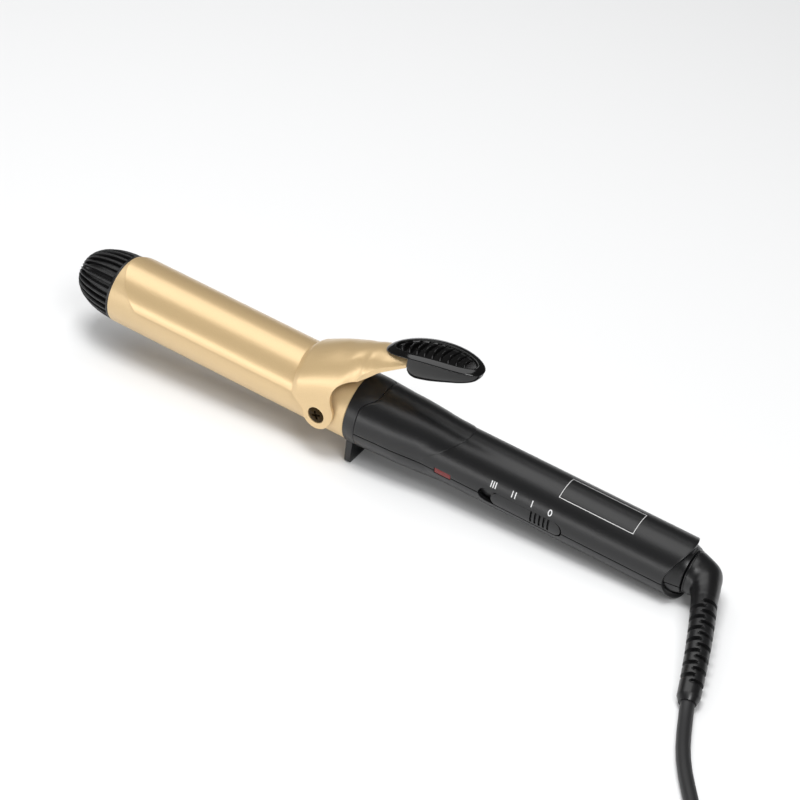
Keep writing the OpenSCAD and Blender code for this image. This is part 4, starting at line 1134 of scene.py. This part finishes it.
def makeBoss(name, x, upper):
    seam, gap, end = iron["seamZ"], boss["gap"], boss["end"]
    low, high = (seam + gap, end) if upper else (-end, seam - gap)
    bore, outer, recess = boss["boreR"], boss["outerR"], boss["recessR"]
    outline = [(low, bore), (low, outer), (high, outer), (high, bore)]
    if not upper:
        outline = [(low, recess)] + outline[1:] + [(boss["recess"], bore), (boss["recess"], recess)]
    mesh = turnedMesh(name, outline, 32)
    mesh.transform(Matrix.Translation((x, 0, 0)) @ Matrix.Rotation(math.radians(-90), 4, "Y"))
    return addPiece(name, mesh, satinBlack)


# The rear face runs from the shell's rounded end in to the neck
def makeRearFace(name, upper):
    rows = []
    for t in spread(0, 1, 49):
        row = []
        a = seamTurn(12, upper, t)
        rear = flare["rearMid"] + math.sqrt(flare["rearR"] ** 2 - (iron["handleR"] * math.cos(a)) ** 2)
        # From the neck out along the inside, over the edge and back in to the neck
        for x, r in ((282.8, 6.1), (282.8, 11.85), (rear - 0.9, 11.85), (rear - 0.5, 11.5), (291.35, 10.45),
                     (291.75, 10.3), (291.88, 10.1), (291.88, 6.1)):
            a = seamTurn(r, upper, t)
            row.append((x, -r * math.cos(a), r * math.sin(a)))
        rows.append(row)
    return addPiece(name, gridMesh(name, rows, loop=True, ends=True), satinBlack)


# Slider, lens and their openings
switch = {"slotLow": 195.9, "slotHigh": 237.1, "slotHeight": 7.5, "z": -1.45, "low": 202.1, "high": 236.3,
          "height": 7.1, "outerR": 13.65, "back": -10.9, "grooves": 5, "groovePitch": 2.1,
          "grooveStart": 221.9, "grooveHalf": 0.5, "grooveZ": (-3.9, 2.6), "flange": (194.6, 237.1),
          "flangeR": (11.5, 10.7), "flangeZ": (-5.8, 2.9), "prongs": (224.8, 228.6), "prongWidth": 1.2,
          "prongZ": (-2.6, -0.2)}
lens = {"low": 173.8, "high": 182.0, "bottom": -3.3, "top": -0.3, "outerR": 13.68, "inner": -10.4}


# Outline of a slot with round ends
def stadium(low, high, height, z, count=16):
    r = height / 2
    points = []
    for i in range(count + 1):
        a = math.radians(-90 + 180 * i / count)
        points.append((high - r + r * math.cos(a), z + r * math.sin(a)))
    for i in range(count + 1):
        a = math.radians(90 + 180 * i / count)
        points.append((low + r + r * math.cos(a), z + r * math.sin(a)))
    return points


def rectangle(low, high, bottom, top):
    return [(low, bottom), (high, bottom), (high, top), (low, top)]


def slotTool():
    s = switch
    return prismPiece("slotTool", stadium(s["slotLow"], s["slotHigh"], s["slotHeight"], s["z"]), -20, -8)


def windowTool():
    w = lens
    corners = rectangle(w["low"] - 0.1, w["high"] + 0.1, w["bottom"] - 0.1, w["top"] + 0.1)
    return prismPiece("windowTool", corners, -20, -8)


makeShell("upperShell", "upper_shell", True)
makeShell("lowerShell", "lower_shell", False)
print("shells made")


# Points at station x on the near side of a round of radius r
def nearSide(x, r, levels):
    return [(x, -math.sqrt(r ** 2 - z * z), z) for z in levels]


def makeSlider():
    s = switch
    r = s["height"] / 2
    rows = []
    xs = [s["low"] + r - r * math.cos(math.radians(a)) for a in spread(6, 90, 14)]
    xs += spread(s["low"] + r + 1, s["high"] - r - 1, 30)
    xs += [s["high"] - r + r * math.cos(math.radians(a)) for a in spread(90, 6, 14)]
    for x in xs:
        off = max(s["low"] + r - x, x - s["high"] + r, 0)
        half = math.sqrt(max(r * r - off * off, 0))
        outer = nearSide(x, s["outerR"], spread(s["z"] - half, s["z"] + half, 17))
        rows.append(outer + [(x, s["back"], p[2]) for p in reversed(outer)])
    piece = addPiece("switchSlider", gridMesh("switchSlider", rows, loop=True, ends=True), satinBlack)
    groove = rectangle(-s["grooveHalf"], s["grooveHalf"], *s["grooveZ"])
    groove = prismPiece("sliderGroove", groove, -16, -12.1)
    applyTree(groove, rowTree, satinBlack, Count=s["grooves"], Start=s["grooveStart"], Pitch=s["groovePitch"],
              Middle=0.0, Half_Length=1e6, Rise=0.0, Arch=0.0)
    cutWith(piece, groove)
    bevelEdges(piece, 0.2, 3)
    keepShape(piece)
    # Flange behind the slot, and the fork that takes the switch's stub
    levels = spread(*s["flangeZ"], 13)
    outerR, innerR = s["flangeR"]
    rows = [nearSide(x, outerR, levels) + nearSide(x, innerR, levels[::-1]) for x in spread(*s["flange"], 12)]
    flange = addPiece("sliderFlange", gridMesh("sliderFlange", rows, loop=True, ends=True), satinBlack)
    prongs = [prismPiece("prong", rectangle(x, x + s["prongWidth"], *s["prongZ"]), s["back"], -8.4)
              for x in s["prongs"]]
    joinPieces(piece, flange, *prongs)
    return settle(piece, "slider", ["switch_slider"], angle=40)


def makeLens():
    rows = []
    for x in spread(lens["low"], lens["high"], 9):
        outer = nearSide(x, lens["outerR"], spread(lens["bottom"], lens["top"], 7))
        rows.append(outer + [(x, lens["inner"], z) for z in (lens["top"], lens["bottom"])])
    piece = addPiece("indicatorLens", gridMesh("indicatorLens", rows, loop=True, ends=True), lampRed)
    bevelEdges(piece, 0.35, 4)
    return settle(piece, "iron", ["indicator_lens"])


makeSlider()
makeLens()
print("slider and lens made")

# Printed marks
marks = {"angle": 23.0, "height": 3.1, "stroke": 0.46, "lift": 0.05, "pitch": {2: 1.5, 3: 1.08},
         "numerals": [(202.2, 3), (212.2, 2), (221.1, 1)], "zeroX": 229.9, "zeroWidth": 1.95,
         "frame": (230.5, 266.2, 55, 107), "line": 0.26}


# A patch of print on the handle: x from low to high, degrees from start to end above the near side
def printPatch(low, high, start, end):
    r = iron["handleR"]
    rows = []
    for a in spread(start, end, max(int((end - start) / 3) + 1, 3)):
        a = math.radians(a)
        rows.append([(x, -q * math.cos(a), q * math.sin(a)) for x, q in (
            (low, r - 0.1), (low, r + marks["lift"]), (high, r + marks["lift"]), (high, r - 0.1))])
    return addPiece("print", gridMesh("print", rows, loop=True, ends=True), printWhite)


def makeMarks():
    r = iron["handleR"]
    half = math.degrees(marks["height"] / r) / 2
    patches = []
    for x, count in marks["numerals"]:
        for i in range(count):
            at = x + (i - (count - 1) / 2) * marks["pitch"].get(count, 0)
            patches.append(printPatch(at - marks["stroke"] / 2, at + marks["stroke"] / 2,
                                      marks["angle"] - half, marks["angle"] + half))
    low, high, start, end = marks["frame"]
    line = marks["line"]
    turn = math.degrees(line / r)
    patches.append(printPatch(low, low + line, start, end))
    patches.append(printPatch(high - line, high, start, end))
    patches.append(printPatch(low + line, high - line, start, start + turn))
    patches.append(printPatch(low + line, high - line, end - turn, end))
    # The zero is an upright oval ring
    rows = []
    for t in around(32):
        row = []
        for grow, q in ((0, r - 0.1), (0, r + marks["lift"]), (-marks["stroke"], r + marks["lift"]),
                        (-marks["stroke"], r - 0.1)):
            x = marks["zeroX"] + (marks["zeroWidth"] / 2 + grow) * math.cos(t)
            a = math.radians(marks["angle"]) + (marks["height"] / 2 + grow) / r * math.sin(t)
            row.append((x, -q * math.cos(a), q * math.sin(a)))
        rows.append(row)
    patches.append(addPiece("zero", gridMesh("zero", rows + rows[:1], loop=True), printWhite))
    joinPieces(patches[0], *patches[1:])
    patches[0].name = "printedMarks"
    return settle(patches[0], "iron", [])


makeMarks()
print("marks made")

# Collar and foot
collar = {"rise": 0.45, "frontBore": 14.85, "rearBore": 14.6, "rearLength": 3, "gap": 0.3}
foot = {"low": 128.0, "high": 131.5, "half": 11.0, "drop": 24.97, "corner": 2.0, "top": -8.0, "cutR": 15.2,
        "lean": (0.25, -0.55)}


def makeCollar():
    r, front = iron["barrelR"] + collar["rise"], iron["collarX"]
    bore, rearBore = collar["frontBore"], collar["rearBore"]
    rows = []
    for a in around(144):
        end = partingX(a) - collar["gap"]
        skin = [(x, flareRadius(x, a)) for x in spread(iron["handleX"] - 0.6, end - 0.2, 6)]
        section = [(front, bore), (front, iron["barrelR"]), (front + 0.12, r - 0.15), (front + 0.4, r)] + skin
        section += [(end, skin[-1][1] - 0.2), (end, rearBore), (end - collar["rearLength"], rearBore)]
        rows.append([(x, -q * math.cos(a), q * math.sin(a)) for x, q in section])
    piece = addPiece("collarFoot", gridMesh("collarFoot", rows + rows[:1], loop=True), tipBlack)
    f = foot
    outline = [(-f["half"], f["top"])]
    for sign, start in ((-1, 180), (1, 270)):
        for a in spread(start, start + 90, 9):
            a = math.radians(a)
            outline.append((sign * (f["half"] - f["corner"]) + f["corner"] * math.cos(a),
                            -f["drop"] + f["corner"] + f["corner"] * math.sin(a)))
    outline.append((f["half"], f["top"]))
    # The lower edge lies flat on the table, and both faces lean in towards it
    rings = []
    for x, lean in zip((f["low"], f["high"]), f["lean"]):
        rings.append([(x + lean, y, z + (x - iron["footMid"]) * math.tan(tilt)) if z < f["top"] else (x, y, z)
                      for y, z in outline])
    plate = addPiece("footPlate", gridMesh("footPlate", rings, loop=True, ends=True), tipBlack)
    tool = turnedMesh("footTool", [(120, 0.0), (120, f["cutR"]), (140, f["cutR"]), (140, 0.0)], 96)
    cutWith(plate, addPiece("footTool", tool, tipBlack))
    bevelEdges(plate, 0.35, 3)
    keepShape(plate)
    joinPieces(piece, plate)
    return settle(piece, "iron", ["collar_foot"])


makeCollar()
print("collar and foot made")

# Swivel elbow
elbow = {"mid": 299.0, "turn": 66.5, "reach": 15.0}
# Rings from the gap to the outlet: outer point, inner point, half height
elbowKeys = [(292.4, 9.35, 292.4, -9.35, 9.35), (292.55, 9.65, 292.55, -9.65, 9.65),
             (292.8, 9.7, 292.8, -9.7, 9.7), (293.05, 9.65, 293.05, -9.65, 9.65),
             (293.2, 9.42, 293.15, -9.45, 9.42), (293.6, 9.38, 293.35, -9.5, 9.42),
             (294.6, 9.15, 293.8, -9.65, 9.38), (296.5, 8.5, 294.5, -9.75, 9.15),
             (298.7, 7.8, 295.1, -9.8, 8.75), (300.8, 7.05, 295.6, -9.85, 8.35),
             (302.6, 6.1, 296.0, -10.0, 7.95), (304.1, 4.7, 296.4, -10.25, 7.55),
             (305.2, 2.9, 296.8, -10.6, 7.2), (306.0, 0.9, 297.2, -11.1, 6.95),
             (306.7, -1.3, 297.7, -11.75, 6.7), (307.8, -4.4, 298.3, -12.7, 6.3),
             (309.0, -8.1, 299.0, -14.1, 5.95), (309.85, -10.8, 299.7, -15.6, 5.7),
             (310.1, -11.5, 299.85, -15.97, 5.6)]
# The post inside the handle: x, radius
postOutline = [(269.8, 0.0), (269.8, 3.0), (280.8, 3.0), (280.8, 6.0), (281.2, 6.0), (281.2, 5.0),
               (282.5, 5.0), (282.5, 6.0), (292.5, 6.0), (292.5, 0.0)]


def makeElbow():
    rings = []
    keys = [(i, *key) for i, key in enumerate(elbowKeys)]
    for i in spread(0, 6, 19) + spread(6.25, len(keys) - 1, 50):
        outerX, outerY, innerX, innerY, tall = between(keys, i)
        middle = Vector((outerX + innerX, outerY + innerY, 0)) / 2
        side = Vector((outerX, outerY, 0)) - middle
        rings.append([tuple(middle + side * math.cos(a) + Vector((0, 0, tall * math.sin(a))))
                      for a in around(72)])
    piece = addPiece("swivelElbow", gridMesh("swivelElbow", rings, loop=True, ends=True), satinBlack)
    joinPieces(piece, addPiece("swivelPost", turnedMesh("swivelPost", postOutline, 48), satinBlack))
    return settle(piece, "swivel", ["swivel_elbow"], angle=35)


makeElbow()
print("elbow made")

# Strain relief
relief = {"end": (193.5, -59.0, 4.9), "startR": 5.6, "endR": 4.85, "slots": 8.6, "depth": 1.8,
          "phases": (0.30, 0.80), "slotHalf": 0.175, "slotReach": 0.12, "slotEnd": 0.3, "middle": 0.485,
          "span": 0.43}


# A tube along a bent line, slotted from both sides in turn
def makeSlottedTree():
    tree, names, source, sink = newTree(
        "slottedSleeve", [("Start", "NodeSocketVector", (0, 0, 0)), ("Middle", "NodeSocketVector", (0, 0, 0)),
                          ("End", "NodeSocketVector", (0, 0, 0)), ("Start Radius", "NodeSocketFloat", 5.3),
                          ("End Radius", "NodeSocketFloat", 4.6), ("Slots", "NodeSocketFloat", 8.6),
                          ("Depth", "NodeSocketFloat", 1.1)])
    given = source.outputs
    line = addNode(tree, "GeometryNodeCurveQuadraticBezier", {
        "Resolution": 420, "Start": given["Start"], "Middle": given["Middle"], "End": given["End"]})
    keep = addNode(tree, "GeometryNodeCaptureAttribute")
    keep.capture_items.new("FLOAT", "Along")
    keep.capture_items.new("VECTOR", "Heading")
    share = addNode(tree, "GeometryNodeSplineParameter").outputs["Factor"]
    heading = addNode(tree, "GeometryNodeInputTangent").outputs["Tangent"]
    for label, output in (("Geometry", line.outputs["Curve"]), ("Along", share), ("Heading", heading)):
        tree.links.new(output, keep.inputs[label])
    ring = addNode(tree, "GeometryNodeCurvePrimitiveCircle", {"Resolution": 72, "Radius": 1})
    tube = addNode(tree, "GeometryNodeCurveToMesh", {
        "Fill Caps": True, "Curve": keep.outputs["Geometry"], "Profile Curve": ring.outputs["Curve"]})
    along = keep.outputs["Along"]
    # How far each place faces left, by its normal before any slot
    normal = addNode(tree, "GeometryNodeInputNormal").outputs[0]
    across = addNode(tree, "ShaderNodeVectorMath", {0: keep.outputs["Heading"], 1: (0, 0, 1)},
                     operation="CROSS_PRODUCT")
    facing = addNode(tree, "ShaderNodeVectorMath", {0: across.outputs[0], 1: normal}, operation="DOT_PRODUCT")
    slots = mathNode(tree, "MULTIPLY", along, given["Slots"])
    cuts = []
    for sign, phase in zip((1, -1), relief["phases"]):
        phase = mathNode(tree, "FRACT", mathNode(tree, "ADD", slots, phase))
        off = mathNode(tree, "ABSOLUTE", mathNode(tree, "SUBTRACT", phase, 0.5))
        side = mathNode(tree, "MULTIPLY", facing.outputs["Value"], sign)
        past = mathNode(tree, "MAXIMUM", mathNode(tree, "SUBTRACT", relief["slotReach"], side), 0.0)
        short = mathNode(tree, "DIVIDE", past, relief["slotEnd"])
        wide = mathNode(tree, "DIVIDE", off, relief["slotHalf"])
        oval = mathNode(tree, "ADD", mathNode(tree, "MULTIPLY", short, short),
                        mathNode(tree, "MULTIPLY", wide, wide))
        width = addNode(tree, "ShaderNodeMapRange", {
            "Value": oval, "From Min": 1.05, "From Max": 0.8, "To Min": 0, "To Max": 1},
            interpolation_type="SMOOTHSTEP")
        cuts.append(width.outputs["Result"])
    # No slots at the two ends
    inside = addNode(tree, "ShaderNodeMapRange", {
        "Value": mathNode(tree, "ABSOLUTE", mathNode(tree, "SUBTRACT", along, relief["middle"])),
        "From Min": relief["span"] + 0.01, "From Max": relief["span"], "To Min": 0, "To Max": 1})
    masked = mathNode(tree, "MULTIPLY", mathNode(tree, "MAXIMUM", *cuts), inside.outputs["Result"])
    deep = mathNode(tree, "MULTIPLY", masked, given["Depth"])
    less = mathNode(tree, "SUBTRACT", given["End Radius"], given["Start Radius"])
    taper = mathNode(tree, "MULTIPLY_ADD", along, less, given["Start Radius"])
    grow = mathNode(tree, "SUBTRACT", mathNode(tree, "SUBTRACT", taper, deep), 1.0)
    offset = addNode(tree, "ShaderNodeVectorMath", {0: normal, "Scale": grow}, operation="SCALE")
    move = addNode(tree, "GeometryNodeSetPosition", {"Geometry": tube.outputs["Mesh"],
                                                     "Offset": offset.outputs[0]})
    endTree(tree, source, sink, move.outputs["Geometry"])
    return tree, names


def makeRelief():
    turn = math.radians(elbow["turn"])
    way = Vector((math.cos(turn), -math.sin(turn), 0))
    outlet = Vector((elbow["mid"], 0, 0)) + way * (elbow["reach"] - 0.2)
    start = ironToRow @ outlet / mm
    heading = ((ironToRow @ (outlet + way)) / mm - start).normalized()
    end = Vector(relief["end"])
    middle = start + heading * (end - start).length / 2
    piece = addPiece("strainRelief", bpy.data.meshes.new("strainRelief"), None)
    applyTree(piece, makeSlottedTree(), reliefBlack, Start=start, Middle=middle, End=end,
              Slots=relief["slots"], Start_Radius=relief["startR"], End_Radius=relief["endR"],
              Depth=relief["depth"])
    tidyMesh(piece.data)
    return settle(piece, "swivel", ["strain_relief"], place=rowInMm, angle=50)


makeRelief()
print("strain relief made")

# Floor, world and lamps
stage = {"floorSize": 8.0, "floor": (0.60, 0.603, 0.606), "glow": 0.06, "seen": 1.05, "world": 0.09}
# Softboxes: place and size in metres, the point they face, brightness
softboxes = {
    "overhead": {"at": (-0.6, 0.1, 1.3), "size": (1.9, 1.1), "facing": (-0.6, 0.1, 0), "level": 2.1},
    "frontStrip": {"at": (-0.45, -1.05, 0.14), "size": (2.2, 0.22), "facing": (-0.2, 0, 0.06), "level": 3.9},
    "key": {"at": (0.72, -0.6, 1.15), "size": (0.5, 0.5), "facing": (0.05, -0.05, 0), "level": 12.0},
    "spark": {"at": (-0.2, 0.95, 1.05), "size": (0.3, 0.12), "facing": (0.02, 0, 0.04), "level": 3.0},
    "floorLight": {"at": (0.08, -0.28, 1.35), "size": (0.5, 0.42), "facing": (0.02, 0, 0), "level": 22.0}}


# One level for what the camera sees directly, another for all other rays
def cameraOnly(tree, bright, other):
    path = addNode(tree, "ShaderNodeLightPath")
    return mathNode(tree, "MULTIPLY_ADD", path.outputs["Is Camera Ray"], bright - other, other)


def makeFloor():
    half = stage["floorSize"] / 2
    mesh = bpy.data.meshes.new("floor")
    mesh.from_pydata([(x, y, 0) for x, y in rectangle(-half, half, -half, half)], [], [(0, 1, 2, 3)])
    material = bpy.data.materials.new("paleFloor")
    material.use_nodes = True
    tree = material.node_tree
    tree.nodes.clear()
    matte = addNode(tree, "ShaderNodeBsdfDiffuse", {"Color": (*stage["floor"], 1)})
    glow = addNode(tree, "ShaderNodeEmission", {"Strength": cameraOnly(tree, stage["glow"], 0)})
    both = addNode(tree, "ShaderNodeAddShader", {0: matte.outputs[0], 1: glow.outputs[0]})
    addNode(tree, "ShaderNodeOutputMaterial", {"Surface": both.outputs[0]})
    floor = addPiece("floor", mesh, material)
    return floor


def makeWorld():
    world = bpy.data.worlds.new("world")
    bpy.context.scene.world = world
    world.use_nodes = True
    tree = world.node_tree
    back = tree.nodes["Background"]
    back.inputs["Color"].default_value = (1, 1, 1, 1)
    tree.links.new(cameraOnly(tree, stage["seen"], stage["world"]), back.inputs["Strength"])


# The floor light lights the floor alone
def makeLamps(floor):
    for name, box in softboxes.items():
        place = Vector(box["at"])
        out = place - Vector(box["facing"])
        data = bpy.data.lights.new(name, "AREA")
        data.shape = "RECTANGLE"
        data.size, data.size_y = box["size"]
        data.energy = box["level"] * math.pi * data.size * data.size_y
        lamp = bpy.data.objects.new(name, data)
        lamp.matrix_world = Matrix.Translation(place) @ out.to_track_quat("Z", "Y").to_matrix().to_4x4()
        bpy.context.collection.objects.link(lamp)
        if name == "floorLight":
            lit = bpy.data.collections.new("floorOnly")
            lit.objects.link(floor)
            lamp.light_linking.receiver_collection = lit


makeWorld()
makeLamps(makeFloor())
bpy.context.scene.view_settings.view_transform = "Standard"
bpy.context.scene.view_settings.look = "None"
print("stage and lamps made")
